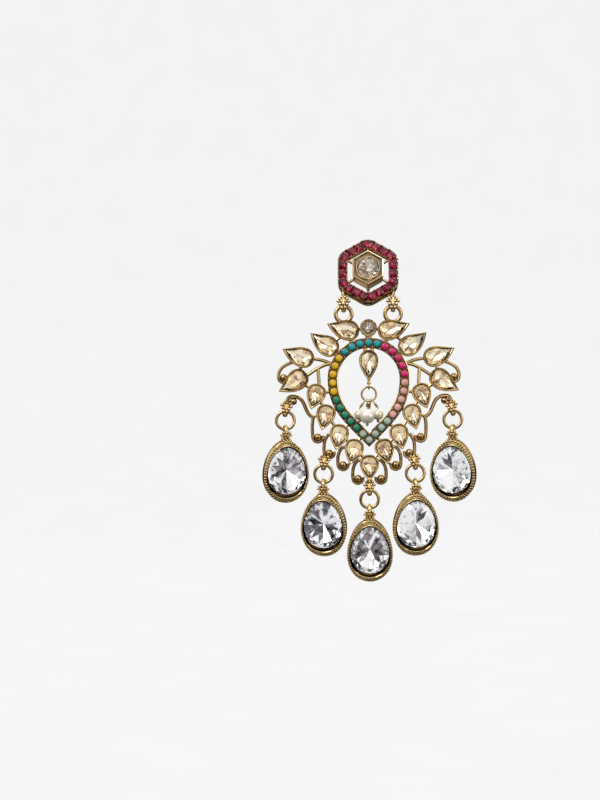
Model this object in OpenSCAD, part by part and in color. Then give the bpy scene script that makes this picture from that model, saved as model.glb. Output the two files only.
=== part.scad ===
// Chandbali earring: a stone-set hexagonal stud with a hanging medallion and five drops.
// The front looks along -Y and +Z is up. The origin is where the ear post meets the stud's back.

/* [Stud] */
// Width of the stud over its two upright sides
stud_w = 13.4; // [13:0.1:13.8]
// Width of the stone band round the stud
halo_w = 2.15; // [2.05:0.05:2.3]
// Thickness of the stone band
halo_t = 1.5; // [1.3:0.1:1.7]
// Radius of the band's corners on its middle line
halo_round = 1.7; // [1.4:0.1:2.2]
// Depth of the stud from its back rail to the front of the band
stud_d = 3; // [2.8:0.1:3.4]
// Width of the back rail
rail_w = 1.1; // [0.9:0.1:1.4]
// Thickness of the back rail
rail_t = 0.8; // [0.6:0.1:1]
// Diameter of the small pillars between the band and its back rail
pillar_d = 0.8; // [0.6:0.1:1]
// Number of red stones in the band
ruby_n = 19; // [18:1:20]
// Diameter of a red stone
ruby_d = 1.66; // [1.4:0.02:1.7]
// Angle by which the stud looks up
stud_tilt = 12; // [6:1:14]

/* [Stud centre] */
// Width of the hexagonal cup across its flats
hex_w = 6.9; // [6.7:0.1:7.2]
// Wall of the hexagonal cup
hex_wall = 0.35; // [0.3:0.05:0.4]
// Height of the hexagonal cup above the front of the band
hex_proud = 2.2; // [1.8:0.1:2.6]
// Diameter of the round stone in the cup
round_d = 4.7; // [4.4:0.1:4.9]
// Wall of the round rim about that stone
round_wall = 0.3; // [0.25:0.05:0.35]
// Width of the spokes that carry the cup
spoke_w = 0.64; // [0.5:0.02:0.8]

/* [Ear post] */
// Diameter of the post
post_d = 0.8; // [0.7:0.05:1]
// Length of the post behind its pad
post_l = 10.5; // [9:0.5:12]
// Diameter of the solder pad
pad_d = 3; // [2.4:0.1:4]
// Thickness of the solder pad
pad_t = 0.4; // [0.3:0.1:0.6]

/* [Hanging loops] */
// Distance between the two loops below the stud
loop_gap = 10.9; // [10.4:0.1:11.4]
// Height from the middle of the stud down to the middle of a loop
loop_drop = 7.5; // [7.3:0.1:8]
// Radius of the hole in a loop
loop_hole = 0.85; // [0.8:0.05:1]
// Wire of a loop
loop_wire = 0.85; // [0.7:0.05:0.95]
// Width of the granulated shield on a loop
loop_shield = 3.1; // [2.6:0.1:3.3]
// Outside diameter of the two rings on top of the medallion
top_ring_d = 4.4; // [4.2:0.1:4.8]
// Wire of those rings
top_wire = 0.88; // [0.7:0.02:0.9]
// Play between a hanging ring and the loop that carries it
play = 0.12; // [0.1:0.01:0.16]

/* [Medallion] */
// Width of the fan of leaves from tip to tip
fan_w = 39; // [38:0.5:41]
// Height from the hanging axis down to the tip of the lowest setting
fan_h = 38.5; // [38:0.5:40]
// Length of a leaf setting
leaf_l = 7.25; // [7:0.05:7.5]
// Width of a leaf setting
leaf_w = 4.55; // [4.3:0.05:4.7]
// Sideways hook of a leaf's tip
leaf_hook = 0.9; // [0.6:0.1:1.1]
// Length of a lower pear setting
pear_l = 5.85; // [5.6:0.05:6]
// Width of a lower pear setting
pear_w = 4.25; // [4.05:0.05:4.4]
// Length of the inner pear setting
inner_l = 6.8; // [6.5:0.1:7]
// Diameter of the crest setting
crest_d = 3.8; // [3.6:0.05:4]
// Thickness of a setting, front to back
setting_t = 2.2; // [2:0.1:2.5]
// Wall of a setting round its stone
rim = 0.42; // [0.36:0.02:0.46]
// Depth of the seat of a stone
seat_d = 0.85; // [0.7:0.05:1]
// Width of the wires of scrolls and stems
wire_w = 0.76; // [0.66:0.02:0.84]
// Thickness of those wires, front to back
wire_t = 1.2; // [1:0.1:1.4]
// Radius of the hook at the end of a scroll
hook_r = 1.1; // [1:0.05:1.15]
// Radius of the ball that ends a scroll
ball_r = 0.8; // [0.7:0.05:0.85]

/* [Teardrop ring] */
// Width of the ring between the middle lines of its sides
tear_w = 15.9; // [15.6:0.1:16.2]
// Height of the ring's middle line
tear_h = 21.4; // [21:0.1:21.8]
// Width of its stone band
tear_band = 2.25; // [2.1:0.05:2.35]
// Thickness of its stone band
tear_t = 2; // [1.8:0.1:2.1]
// Diameter of a small round stone
small_d = 1.58; // [1.4:0.02:1.6]

/* [Drops] */
// Width of a drop's cup
cup_w = 9.9; // [9.6:0.1:10.3]
// Height of a drop's cup
cup_h = 13.8; // [13.2:0.1:14.2]
// Depth of a drop's cup
cup_d = 3.4; // [3.2:0.1:3.8]
// Width of the large crystal
crystal_w = 8.4; // [7.8:0.1:8.6]
// Height of the large crystal
crystal_h = 10.4; // [10:0.1:11]
// Depth of the crystal's pointed back
crystal_back = 1.9; // [1.5:0.1:2.1]
// Angle by which a drop looks down
drop_tilt = 8; // [5:1:10]
// Height from the hole of a drop's bail down to the middle of its cup
drop_reach = 8.9; // [8.7:0.1:9.2]
// Radius of the hole in a bail
bail_hole = 0.8; // [0.75:0.05:0.9]
// Wire of a fixed bail
bail_wire = 0.85; // [0.75:0.05:0.9]
// Wire of a drop's own bail
drop_wire = 0.6; // [0.5:0.05:0.7]
// Width of the granulated shield on a bail
bail_shield = 2.65; // [2.3:0.05:2.8]
// Width of the granulated shield on a drop's own bail
drop_shield = 2.35; // [2.1:0.05:2.6]
// Outside diameter of a jump ring
jump_d = 4.65; // [4.5:0.05:4.9]
// Wire of a jump ring
jump_wire = 0.7; // [0.6:0.02:0.74]

/* [Pearls] */
// Diameter of the front pearl
pearl_d = 3.3; // [3:0.1:3.4]
// Diameter of the other pearls
small_pearl_d = 2.4; // [2.2:0.1:2.5]
// Outside diameter of the ring that carries the pearls
inner_ring_d = 3.64; // [3.5:0.02:3.8]
// Wire of that ring
inner_ring_wire = 0.46; // [0.4:0.02:0.5]
// Wire of a headpin
pin_d = 0.26; // [0.22:0.02:0.3]
// Height from the carrying ring's wire down to the middle of the pearls
pearl_drop = 3.3; // [3.2:0.1:3.6]

/* [Fits] */
// Clearance of a stone in its seat
stone_gap = 0.05; // [0.04:0.01:0.07]
// Clearance round a pin in its bore
bore_gap = 0.05; // [0.04:0.01:0.08]
// Play between small rings that hang on each other
ring_play = 0.08; // [0.06:0.01:0.1]

/* [Hidden] */
$fn = 48;
// Sides of the pear, egg and round outlines, and steps of a curved wire and of a hook
pear_sides = 20;
egg_sides = 32;
round_sides = 16;
curve_steps = 6;
hook_steps = 8;
// Sharpness of a pear's tip: 1 is blunt and 2 is a thorn
pear_point = 1;
// How much fuller an egg outline is below than above
egg_fullness = 0.13;
// How far joined metal runs into what it is soldered to
bite = 0.5;
// Clearance by which a cut runs out of the metal
cut_out = 1;
// How far a bail's square neck is thicker than its wire, as a share of the wire
neck_share = 1.1;
// How far the granulated shields stand out from their loops and clear of the hole
shield_rise = 0.35;
shield_gap = 0.25;
// Corners of a shield's right half. Columns: across as a share of its width, up as a share of its height
SHIELD = [
    [0.16, -0.75],
    [0.36, -0.3],
    [0.5, 0.1],
    [0.5, 0.6],
    [0.34, 1.1]
];
// How far the hanging loops sit behind the back of the stone band, and the spokes inside its thickness
loop_set = 0.2;
spoke_set = 0.25;
// Radii of the corners of the hexagonal cup, outside and inside
hex_round = 0.5;
hex_inner_round = 0.3;
// Small loop below the inner setting: radius of its hole, its wire and its neck
inner_hole = 0.42;
inner_loop_wire = 0.36;
inner_neck = 0.8;
// Angle between two neighbouring pin loops on the inner ring
pin_step = 20;
// Rise of the stones above the metal: pears and round stones, small stones, crystals
stone_rise = 0.45;
small_rise = 0.25;
crystal_rise = 0.9;
// Depth of the crystal's girdle below the rim of its cup
crystal_set = 0.25;
// Sloping front of a drop's cup: the share of the outline left at its front edge, and its depth
cup_lip = 0.9;
cup_slope = 0.8;
// How far a pear outline shortens for each unit of wall taken off it
tip_share = 2.6;
// Cut of a set stone. Columns: share of its outline, height above the metal as a share of stone_rise
CUT = [
    [1, -0.45],
    [0.78, 0.33],
    [0.5, 1]
];
// Cut of a crystal. Columns: share of its outline, height as a share of its back or of its rise
CRYSTAL_CUT = [
    [0.12, -1],
    [0.62, -0.58],
    [1, -0.16],
    [1, 0],
    [0.8, 0.61],
    [0.45, 1]
];
// Dome of a small stone. Columns: share of its radius, height below the top as a share of small_rise
DOME = [
    [1, 1.25],
    [0.72, 0.48],
    [0.3, 0]
];
// Number of small stones on the ring, of each colour, and the first one that is magenta
tear_n = 30;
colour_n = 5;
magenta_first = 2;
// Colours of the ring, clockwise from the first magenta stone
COLOURS = [
    ["magenta", [0.9, 0.2, 0.5]],
    ["blush", [0.8, 0.6, 0.55]],
    ["pale_green", [0.6, 0.66, 0.58]],
    ["green", [0.05, 0.5, 0.38]],
    ["yellow", [0.85, 0.67, 0.1]],
    ["teal", [0.1, 0.6, 0.6]]
];

// Settings of the right half. Columns: across as a share of fan_w, down as a share of fan_h,
// and the direction of the tip in degrees from +X
ACROSS = 0;
DOWN = 1;
TURN = 2;
LEAVES = [
    [0.114, 0.139, 7],
    [0.228, 0.23, 27],
    [0.371, 0.293, 13],
    [0.403, 0.419, -42]
];
PEARS = [
    [0.296, 0.494, -71],
    [0.243, 0.612, -76],
    [0.168, 0.726, -78],
    [0.084, 0.811, -76],
    [0, 0.903, -90]
];
CREST = [0, 0.125, 0];
INNER = [0, 0.311, -90];

// Scrolls of the right half. Columns: start across and down, ball across and down, as shares
START = 0;
BALL = 2;
SCROLLS = [
    [0.412, 0.315, 0.482, 0.407],
    [0.312, 0.63, 0.291, 0.749],
    [0.227, 0.735, 0.227, 0.841],
    [0.147, 0.808, 0.149, 0.909],
    [0.059, 0.882, 0.065, 0.988]
];
// The S arm to the outer drop, as two curves with four points each, and the ball that it ends in
ARM = [
    [[0.312, 0.638], [0.379, 0.612], [0.345, 0.52], [0.43, 0.515]],
    [[0.43, 0.515], [0.458, 0.515], [0.466, 0.53], [0.466, 0.57]]
];
ARM_BALL = [0.428, 0.544];
// Stems from the ring. Columns: stone of the ring, bend across and down, end across and down
STEMS = [
    [5, 0.25, 0.3, 0.36, 0.297],
    [5, 0.235, 0.298, 0.39, 0.43]
];
// Upright bar from the lower stem to the first lower setting: its two ends, across and down
BAR = [[0.287, 0.353], [0.281, 0.46]];
// Joins between neighbouring settings, and from a setting to a stone of the ring
LEAF_JOINS = [[0, 1], [2, 3]];
PEAR_JOINS = [[0, 1], [1, 2], [2, 3], [3, 4]];
LEAF_RING = [[0, 2], [1, 4]];
PEAR_RING = [[0, 8], [1, 10], [2, 12], [3, 14]];

// Drops from left to right. Columns: bail across, bail down, lean of the bail, turn of the drop
LEAN = 2;
YAW = 3;
DROPS = [
    [-0.47, 0.592, 12, 16],
    [-0.257, 0.9, 7, -6],
    [0, 1.047, 0, 0],
    [0.257, 0.9, -7, 6],
    [0.47, 0.592, -12, -16]
];
// Pearls. Columns: place across, front to back and up in shares of the front pearl, and where the
// pin's loop hangs on the ring, in loop widths from the ring's lowest point
LOOP = 3;
PEARLS = [
    [-0.12, -0.6, 0, -0.5],
    [0.6, 0, 0.1, 1.5],
    [-0.63, 0.1, 0.1, -1.5],
    [0, 0.62, 0.05, 0.5]
];

// Points and lines
function unit(v) = v / norm(v);
function left_of(v) = [-v.y, v.x];
function mirrored(p) = [-p.x, p.y];
function reversed(list) = [for (i = [len(list) - 1:-1:0]) list[i]];
function place(share) = [share.x * fan_w, -share.y * fan_h];
function bend_2(a, b, c, t) = (1 - t) * (1 - t) * a + 2 * t * (1 - t) * b + t * t * c;
function bend_3(p, t) = (1 - t) * bend_2(p[0], p[1], p[2], t) + t * bend_2(p[1], p[2], p[3], t);
function curve_3(p, steps) = [for (i = [0:steps]) bend_3(p, i / steps)];

// The point of a bend between two segments, moved sideways by d
function shifted(before, at, after, d) =
    let (a = left_of(unit(at - before)), b = left_of(unit(after - at)), n = unit(a + b))
    at + n * d / (n * a);
function beside(loop, d) =
    let (n = len(loop))
    [for (i = [0:n - 1]) shifted(loop[(i + n - 1) % n], loop[i], loop[(i + 1) % n], d)];
function side_of(line, d) =
    let (last = len(line) - 1)
    [for (i = [0:last])
        let (before = i == 0 ? 2 * line[0] - line[1] : line[i - 1],
             after = i == last ? 2 * line[last] - line[last - 1] : line[i + 1])
        shifted(before, line[i], after, d)];
function ribbon(line, w) = concat(side_of(line, -w / 2), reversed(side_of(line, w / 2)));

// Distances along a closed line, and the point at one of them
function runs(loop) =
    let (n = len(loop))
    [for (i = 0, s = 0; i <= n; s = s + norm(loop[(i + 1) % n] - loop[i % n]), i = i + 1) s];
function walked(loop, run, s) =
    let (i = max([for (j = [0:len(loop) - 1]) if (run[j] <= s) j]),
         t = (s - run[i]) / (run[i + 1] - run[i]),
         next = loop[(i + 1) % len(loop)])
    loop[i] + t * (next - loop[i]);
function wrapped(s, total) = s - total * floor(s / total);
function spaced(loop, n, first, lead) =
    let (run = runs(loop), total = run[len(loop)])
    [for (k = [0:n - 1]) walked(loop, run, wrapped(lead + (k + first) * total / n, total))];

// Outlines
function pear_back(l) = l / (2 + pear_point);
function pear_tip(l) = l - pear_back(l);
function pear(l, w, hook) =
    let (peak = sqrt((1 + pear_point) / (2 + pear_point)),
         a = w / 4 / pow(peak, pear_point + 1) / sqrt(1 - peak * peak),
         rise = l / 2 * pear_point / (2 + pear_point),
         tip = l / 2 + rise)
    [for (i = [0:pear_sides - 1])
        let (t = 360 * i / pear_sides,
             y = -l / 2 * cos(t) - rise,
             bent = hook * pow(max(0, -y / tip), 3))
        [a * sin(t) * pow(sin(t / 2), pear_point) + bent, y]];
function pear_inside(l, w, hook, inset) =
    pear(l - tip_share * inset, w - 2 * inset, hook * (1 - 2 * inset / l));
function egg(w, h) =
    [for (i = [0:egg_sides - 1])
        let (t = 360 * i / egg_sides)
        [w / 2 * sin(t) * (1 + egg_fullness * cos(t)), -h / 2 * cos(t)]];
function disc(d, sides) = [for (i = [0:sides - 1]) d / 2 * [cos(360 * i / sides), sin(360 * i / sides)]];
function hexagon(w, r) =
    [for (k = [0:5]) for (a = [30:-15:-30])
        let (corner = 90 - 60 * k, c = (w / 2 - r) / cos(30))
        c * [cos(corner), sin(corner)] + r * [cos(corner + a), sin(corner + a)]];
// The teardrop's middle line, clockwise from its top: a half circle, then two full curves to the tip
tear_r = tear_w / 2;
tear_side = [
    [tear_r, 0],
    [tear_r, -0.42 * (tear_h - tear_r)],
    [0.67 * tear_r, -0.61 * (tear_h - tear_r)],
    [0, -(tear_h - tear_r)]
];
tear_half = concat(
    [for (a = [81:-9:9]) tear_r * [cos(a), sin(a)]],
    [for (i = [0:curve_steps + 2]) bend_3(tear_side, i / (curve_steps + 3))]
);
tear_top = 0.2107 * fan_h;
tear_middle = [0, -tear_top - tear_r];
tear_line = [
    for (p = concat([[0, tear_r]], tear_half, [tear_side[3]], [for (q = reversed(tear_half)) mirrored(q)]))
    p + tear_middle
];
tear_spots = spaced(tear_line, tear_n, 0, 0);

// Stud places. The loops hang on the tilted stud, and the medallion hangs in the loops
halo_mid = stud_w - halo_w;
rail_out = (halo_w - rail_w) / 2;
halo_line = hexagon(halo_mid, halo_round);
halo_lead = halo_round * PI / 6;
ruby_spots = spaced(halo_line, ruby_n, 0, halo_lead);
hex_front = -stud_d - hex_proud;
round_seat = 1.5 * seat_d;
loop_y = -stud_d + halo_t - loop_set;
function tilted(p) = [
    p.x,
    p.y * cos(stud_tilt) + p.z * sin(stud_tilt),
    p.z * cos(stud_tilt) - p.y * sin(stud_tilt)
];
loop_at = tilted([loop_gap / 2, loop_y, -loop_drop]);
hang = [0, loop_at.y, loop_at.z - loop_hole + top_wire / 2 + play];
top_ring_r = (top_ring_d - top_wire) / 2;

// Places in the medallion, measured from the hanging axis
setting_front = -setting_t / 2;
tear_front = -tear_t / 2;
jump_r = (jump_d - jump_wire) / 2;
jump_top = -bail_hole + jump_wire / 2 + ring_play;
drop_hole = jump_top - 2 * jump_r + jump_wire / 2 + ring_play - bail_hole;
inner_r = (inner_ring_d - inner_ring_wire) / 2;
inner_tip = place(INNER).y - pear_tip(inner_l);
inner_loop = inner_tip - inner_hole - inner_neck;
inner_ring_top = inner_loop - inner_hole + inner_ring_wire / 2 + ring_play;
inner_ring_low = inner_ring_top - 2 * inner_r;
pin_hole = inner_ring_wire / 2 + ring_play;
pin_loop_r = pin_hole + pin_d / 2;

GOLD = [0.78, 0.66, 0.42];
CHAMPAGNE = [0.9, 0.82, 0.64];
CLEAR = [0.86, 0.88, 0.9];
PEARL = [0.93, 0.9, 0.82];

// Basic solids
module slab(front, depth) {
    translate([0, front + depth, 0]) rotate([90, 0, 0]) linear_extrude(depth) children();
}
module tube_ring(r, wire) {
    rotate_extrude() translate([r, 0]) circle(d = wire);
}
module rod_x(r, l) {
    rotate([0, 90, 0]) cylinder(r = r, h = l, center = true);
}
// Turns +Z to the direction v
module aimed(v) {
    rotate([0, acos(v.z / norm(v)), atan2(v.y, v.x)]) children();
}
module rod_between(a, b, d) {
    translate(a) aimed(b - a) cylinder(d = d, h = norm(b - a), $fn = 24);
}
module both_sides() {
    children();
    mirror([1, 0, 0]) children();
}

// A cut stone: flat back, upright girdle, two rows of facets and a table. It faces -Y
module cut_stone(outline, scales, levels) {
    n = len(outline);
    rings = len(scales);
    rotate([90, 0, 0]) polyhedron(
        points = [for (k = [0:rings - 1]) for (p = outline) [p.x * scales[k], p.y * scales[k], levels[k]]],
        faces = concat(
            [[for (i = [0:n - 1]) i]],
            [[for (i = [n - 1:-1:0]) (rings - 1) * n + i]],
            [for (k = [0:rings - 2]) for (i = [0:n - 1])
                [k * n + i, (k + 1) * n + i, (k + 1) * n + (i + 1) % n, k * n + (i + 1) % n]]
        )
    );
}
// A stone on its seat, with the cut of CUT above it. It faces -Y
module set_stone(outline, deep) {
    cut_stone(
        outline,
        concat([1], [for (row = CUT) row[0]]),
        concat([0], [for (row = CUT) deep + row[1] * stone_rise])
    );
}
// A small domed stone on its seat, at the origin of its spot. It faces -Y
module small_stone(d, deep) {
    top = deep - stone_gap + small_rise;
    dome = [for (row = DOME) [row[0] * d / 2, top - row[1] * small_rise]];
    rotate([90, 0, 0]) rotate_extrude($fn = 24) polygon(concat([[0, 0], [d / 2, 0]], dome, [[0, top]]));
}

// A wire loop seen edge-on, its neck up to the root, and a granulated shield over its front
module bail(hole, wire, shield, reach) {
    outer = hole + wire + shield_rise;
    neck = neck_share * wire;
    right = [for (row = SHIELD) [row.x * shield, row.y * outer]];
    left = [for (p = reversed(right)) mirrored(p)];
    rotate([0, 90, 0]) tube_ring(hole + wire / 2, wire);
    translate([-neck / 2, -neck / 2, hole + wire / 2]) cube([neck, neck, reach - hole - wire / 2]);
    intersection() {
        difference() {
            rod_x(outer, shield);
            rod_x(hole + shield_gap, shield + cut_out);
        }
        slab(-outer - cut_out, outer + cut_out) polygon(concat(right, left));
    }
}

// Stud
module ear_post() {
    color(GOLD) rotate([-stud_tilt, 0, 0]) rotate([-90, 0, 0]) translate([0, 0, stone_gap]) {
        cylinder(d = pad_d, h = pad_t);
        cylinder(d = post_d, h = pad_t + post_l);
        translate([0, 0, pad_t + post_l]) sphere(d = post_d);
    }
}

// A band along the stud's outline, out from the middle line of the stone band
module stud_band(front, depth, w, out) {
    slab(front, depth) difference() {
        polygon(hexagon(halo_mid + 2 * out + w, halo_round + out + w / 2));
        polygon(hexagon(halo_mid + 2 * out - w, max(halo_round + out - w / 2, hex_inner_round)));
    }
}

module stud_cup() {
    deep = hex_proud + stud_d;
    rim_r = round_d / 2 + stone_gap + round_wall;
    difference() {
        slab(hex_front, deep) polygon(hexagon(hex_w, hex_round));
        slab(hex_front - cut_out, cut_out + seat_d / 2) difference() {
            polygon(hexagon(hex_w - 2 * hex_wall, hex_inner_round));
            circle(r = rim_r);
        }
        translate([0, hex_front + round_seat, 0]) rotate([90, 0, 0])
            cylinder(r = rim_r - round_wall, h = round_seat + cut_out);
    }
}

// Pillars stand at the corners of the rail and in the middle of its sides
function pillar_reach(k) =
    let (flat = halo_mid / 2 + rail_out)
    k % 2 == 0 ? flat : flat / cos(30) - (halo_round + rail_out) * (1 / cos(30) - 1);

module stud_frame() {
    color(GOLD) rotate([-stud_tilt, 0, 0]) difference() {
        union() {
            stud_band(-stud_d, halo_t, halo_w, 0);
            stud_band(-rail_t, rail_t, rail_w, rail_out);
            for (k = [0:11]) rotate([0, 30 * k, 0])
                translate([pillar_reach(k), -rail_t / 2, 0]) rotate([90, 0, 0])
                    cylinder(d = pillar_d, h = stud_d - halo_t / 2 - rail_t / 2);
            stud_cup();
            for (k = [0:5]) rotate([0, 30 + 60 * k, 0])
                translate([hex_w / 2, -stud_d + spoke_set, -spoke_w / 2])
                    cube([(halo_mid - hex_w) / 2 + spoke_set, halo_t - 2 * spoke_set, spoke_w]);
            both_sides() translate([loop_gap / 2, loop_y, -loop_drop])
                bail(loop_hole, loop_wire, loop_shield, loop_drop - stud_w / 2 * tan(30) + bite);
        }
        for (p = ruby_spots)
            translate([p.x, -stud_d + seat_d, p.y]) rotate([90, 0, 0])
                cylinder(d = ruby_d + 2 * stone_gap, h = seat_d + cut_out, $fn = 24);
    }
}

module stud_stone() {
    deep = round_seat - stone_gap;
    color(CLEAR) rotate([-stud_tilt, 0, 0]) translate([0, hex_front + deep, 0])
        set_stone(disc(round_d, round_sides), deep);
}

module stud_rubies() {
    color([0.62, 0.08, 0.24]) rotate([-stud_tilt, 0, 0]) for (p = ruby_spots)
        translate([p.x, -stud_d + seat_d - stone_gap, p.y]) small_stone(ruby_d, seat_d);
}

// Medallion metal
module setting_spot(row) {
    p = place(row);
    translate([p.x, p.y]) rotate(row[TURN] + 90) children();
}
module setting_outlines(inset) {
    for (side = [0, 1]) mirror([side, 0]) {
        for (row = LEAVES) setting_spot(row) polygon(pear_inside(leaf_l, leaf_w, leaf_hook, inset));
        for (i = [0:3]) setting_spot(PEARS[i]) polygon(pear_inside(pear_l, pear_w, 0, inset));
    }
    setting_spot(PEARS[4]) polygon(pear_inside(pear_l, pear_w, 0, inset));
    setting_spot(INNER) polygon(pear_inside(inner_l, pear_w, 0, inset));
}
module tear_outline(w) {
    difference() {
        polygon(beside(tear_line, w / 2));
        polygon(beside(tear_line, -w / 2));
    }
}

function scroll_line(row) =
    let (a = place([row[START], row[START + 1]]),
         b = place([row[BALL], row[BALL + 1]]),
         out = b + [hook_r, 0],
         knee = [out.x + 0.3 * hook_r, a.y - 0.25 * (a.y - out.y)])
    concat(
        [for (i = [0:curve_steps]) bend_2(a, knee, out, i / curve_steps)],
        [for (i = [1:hook_steps]) b + hook_r * [cos(-200 * i / hook_steps), sin(-200 * i / hook_steps)]]
    );
module join(a, b) {
    polygon(ribbon([a, b], wire_w));
}
module half_wires() {
    for (row = SCROLLS) polygon(ribbon(scroll_line(row), wire_w));
    for (part = ARM) polygon(ribbon(curve_3([for (p = part) place(p)], curve_steps + 1), wire_w));
    for (k = [1:4]) join(place([SCROLLS[k][START], SCROLLS[k][START + 1]]), place(PEARS[k]));
    for (row = STEMS) {
        a = tear_spots[row[0]];
        bend = place([row[1], row[2]]);
        end = place([row[3], row[4]]);
        polygon(ribbon([for (i = [0:curve_steps]) bend_2(a, bend, end, i / curve_steps)], wire_w));
    }
    join(place(BAR[0]), place(BAR[1]));
    for (j = LEAF_JOINS) join(place(LEAVES[j[0]]), place(LEAVES[j[1]]));
    for (j = PEAR_JOINS) join(place(PEARS[j[0]]), place(PEARS[j[1]]));
    for (j = LEAF_RING) join(place(LEAVES[j[0]]), tear_spots[j[1]]);
    for (j = PEAR_RING) join(place(PEARS[j[0]]), tear_spots[j[1]]);
    join(place(LEAVES[0]), place(CREST));
    join(place(LEAVES[3]), place(PEARS[0]));
}

// Neck of a fixed bail: the middle one runs up to the tip of the lowest setting
function bail_reach(row) =
    let (to_tip = (row[DOWN] - PEARS[4][DOWN]) * fan_h - pear_tip(pear_l))
    bite + (row[ACROSS] == 0 ? to_tip : bail_hole + bail_wire);

module medallion_solid() {
    slab(-wire_t / 2, wire_t) {
        half_wires();
        mirror([1, 0]) half_wires();
        polygon(ribbon([place(CREST), tear_spots[0]], 2 * wire_w));
        polygon(ribbon([tear_spots[0], place(INNER)], 3 * wire_w));
    }
    slab(setting_front, setting_t) {
        setting_outlines(0);
        translate(place(CREST)) circle(d = crest_d);
    }
    slab(tear_front, tear_t) tear_outline(tear_band);
    both_sides() {
        for (row = SCROLLS)
            translate([row[BALL] * fan_w, 0, -row[BALL + 1] * fan_h]) sphere(r = ball_r, $fn = 24);
        translate([ARM_BALL.x * fan_w, 0, -ARM_BALL.y * fan_h]) sphere(r = ball_r, $fn = 24);
        translate([loop_gap / 2, 0, -top_ring_r]) rotate([90, 0, 0]) tube_ring(top_ring_r, top_wire);
    }
    for (row = DROPS) translate([row[ACROSS] * fan_w, 0, -row[DOWN] * fan_h]) rotate([0, row[LEAN], 0])
        bail(bail_hole, bail_wire, bail_shield, bail_reach(row));
    translate([0, 0, inner_loop]) {
        rotate([0, 90, 0]) tube_ring(inner_hole + inner_loop_wire / 2, inner_loop_wire);
        translate([-inner_loop_wire / 2, -inner_loop_wire / 2, inner_hole + stone_gap])
            cube([inner_loop_wire, inner_loop_wire, inner_neck + 2 * bite]);
    }
}

module medallion_frame() {
    color(GOLD) translate(hang) difference() {
        medallion_solid();
        slab(setting_front - cut_out, cut_out + seat_d) setting_outlines(rim);
        translate([place(CREST).x, setting_front + seat_d, place(CREST).y]) rotate([90, 0, 0])
            cylinder(d = crest_d - 2 * rim, h = seat_d + cut_out);
        for (p = tear_spots) translate([p.x, tear_front + seat_d, p.y]) rotate([90, 0, 0])
            cylinder(d = small_d + 2 * stone_gap, h = seat_d + cut_out, $fn = 24);
    }
}

// Medallion stones
module tear_stones(first, tint) {
    color(tint) translate(hang) for (k = [0:colour_n - 1]) {
        p = tear_spots[(first + k) % tear_n];
        translate([p.x, tear_front + seat_d - stone_gap, p.y]) small_stone(small_d, seat_d);
    }
}
module pear_stone(row, l, w, hook) {
    deep = seat_d - stone_gap;
    p = place(row);
    color(CHAMPAGNE) translate(hang) translate([p.x, setting_front + deep, p.y])
        rotate([0, -row[TURN] - 90, 0]) set_stone(pear_inside(l, w, hook, rim + stone_gap), deep);
}
module crest_stone() {
    deep = seat_d - stone_gap;
    color(CLEAR) translate(hang) translate([place(CREST).x, setting_front + deep, place(CREST).y])
        set_stone(disc(crest_d - 2 * rim - 2 * stone_gap, round_sides), deep);
}
// Leaf stones 1 to 4 run down the left side and 5 to 8 down the right one
module leaf_stone(i) {
    row = LEAVES[(i - 1) % 4];
    if (i <= 4) mirror([1, 0, 0]) pear_stone(row, leaf_l, leaf_w, leaf_hook);
    else pear_stone(row, leaf_l, leaf_w, leaf_hook);
}
// Lower stones 1 to 4 run down the left side, 5 is the lowest and 6 to 9 run down the right side
module lower_stone(i) {
    if (i <= 4) mirror([1, 0, 0]) pear_stone(PEARS[i - 1], pear_l, pear_w, 0);
    else pear_stone(PEARS[i == 5 ? 4 : i - 6], pear_l, pear_w, 0);
}
module inner_stone() {
    pear_stone(INNER, inner_l, pear_w, 0);
}

// Drops
module at_drop(row) {
    slip = bail_hole * [-sin(row[LEAN]), 0, 1 - cos(row[LEAN])];
    translate(hang) translate([row[ACROSS] * fan_w, 0, -row[DOWN] * fan_h] + slip) children();
}
module at_cup(row) {
    at_drop(row) translate([0, 0, drop_hole]) rotate([0, 0, row[YAW]])
        translate([0, 0, -drop_reach]) rotate([drop_tilt, 0, 0]) children();
}
module jump_ring(i) {
    color(GOLD) at_drop(DROPS[i - 1]) translate([0, 0, jump_top - jump_r]) rotate([90, 0, 0])
        tube_ring(jump_r, jump_wire);
}
module drop_cup(i) {
    row = DROPS[i - 1];
    pocket = crystal_set + crystal_back + 3 * stone_gap;
    color(GOLD) {
        at_drop(row) translate([0, 0, drop_hole]) rotate([0, 0, row[YAW]]) mirror([0, 0, 1])
            bail(bail_hole, drop_wire, drop_shield, drop_reach - cup_h / 2 + bite);
        at_cup(row) difference() {
            union() {
                slab(cup_slope - cup_d / 2, cup_d - cup_slope) polygon(egg(cup_w, cup_h));
                translate([0, cup_slope - cup_d / 2, 0]) rotate([90, 0, 0])
                    linear_extrude(cup_slope, scale = cup_lip) polygon(egg(cup_w, cup_h));
            }
            slab(-cup_d / 2 - cut_out, cut_out + pocket)
                polygon(egg(crystal_w + 2 * stone_gap, crystal_h + 2 * stone_gap));
        }
    }
}
module crystal(i) {
    color(CLEAR) at_cup(DROPS[i - 1]) translate([0, -cup_d / 2 + crystal_set, 0])
        cut_stone(
            egg(crystal_w, crystal_h),
            [for (row = CRYSTAL_CUT) row[0]],
            [for (row = CRYSTAL_CUT) row[1] * (row[1] < 0 ? crystal_back : crystal_rise)]
        );
}

// Pearls
module inner_ring() {
    color(GOLD) translate(hang) translate([0, 0, inner_ring_top - inner_r]) rotate([90, 0, 0])
        tube_ring(inner_r, inner_ring_wire);
}
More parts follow.
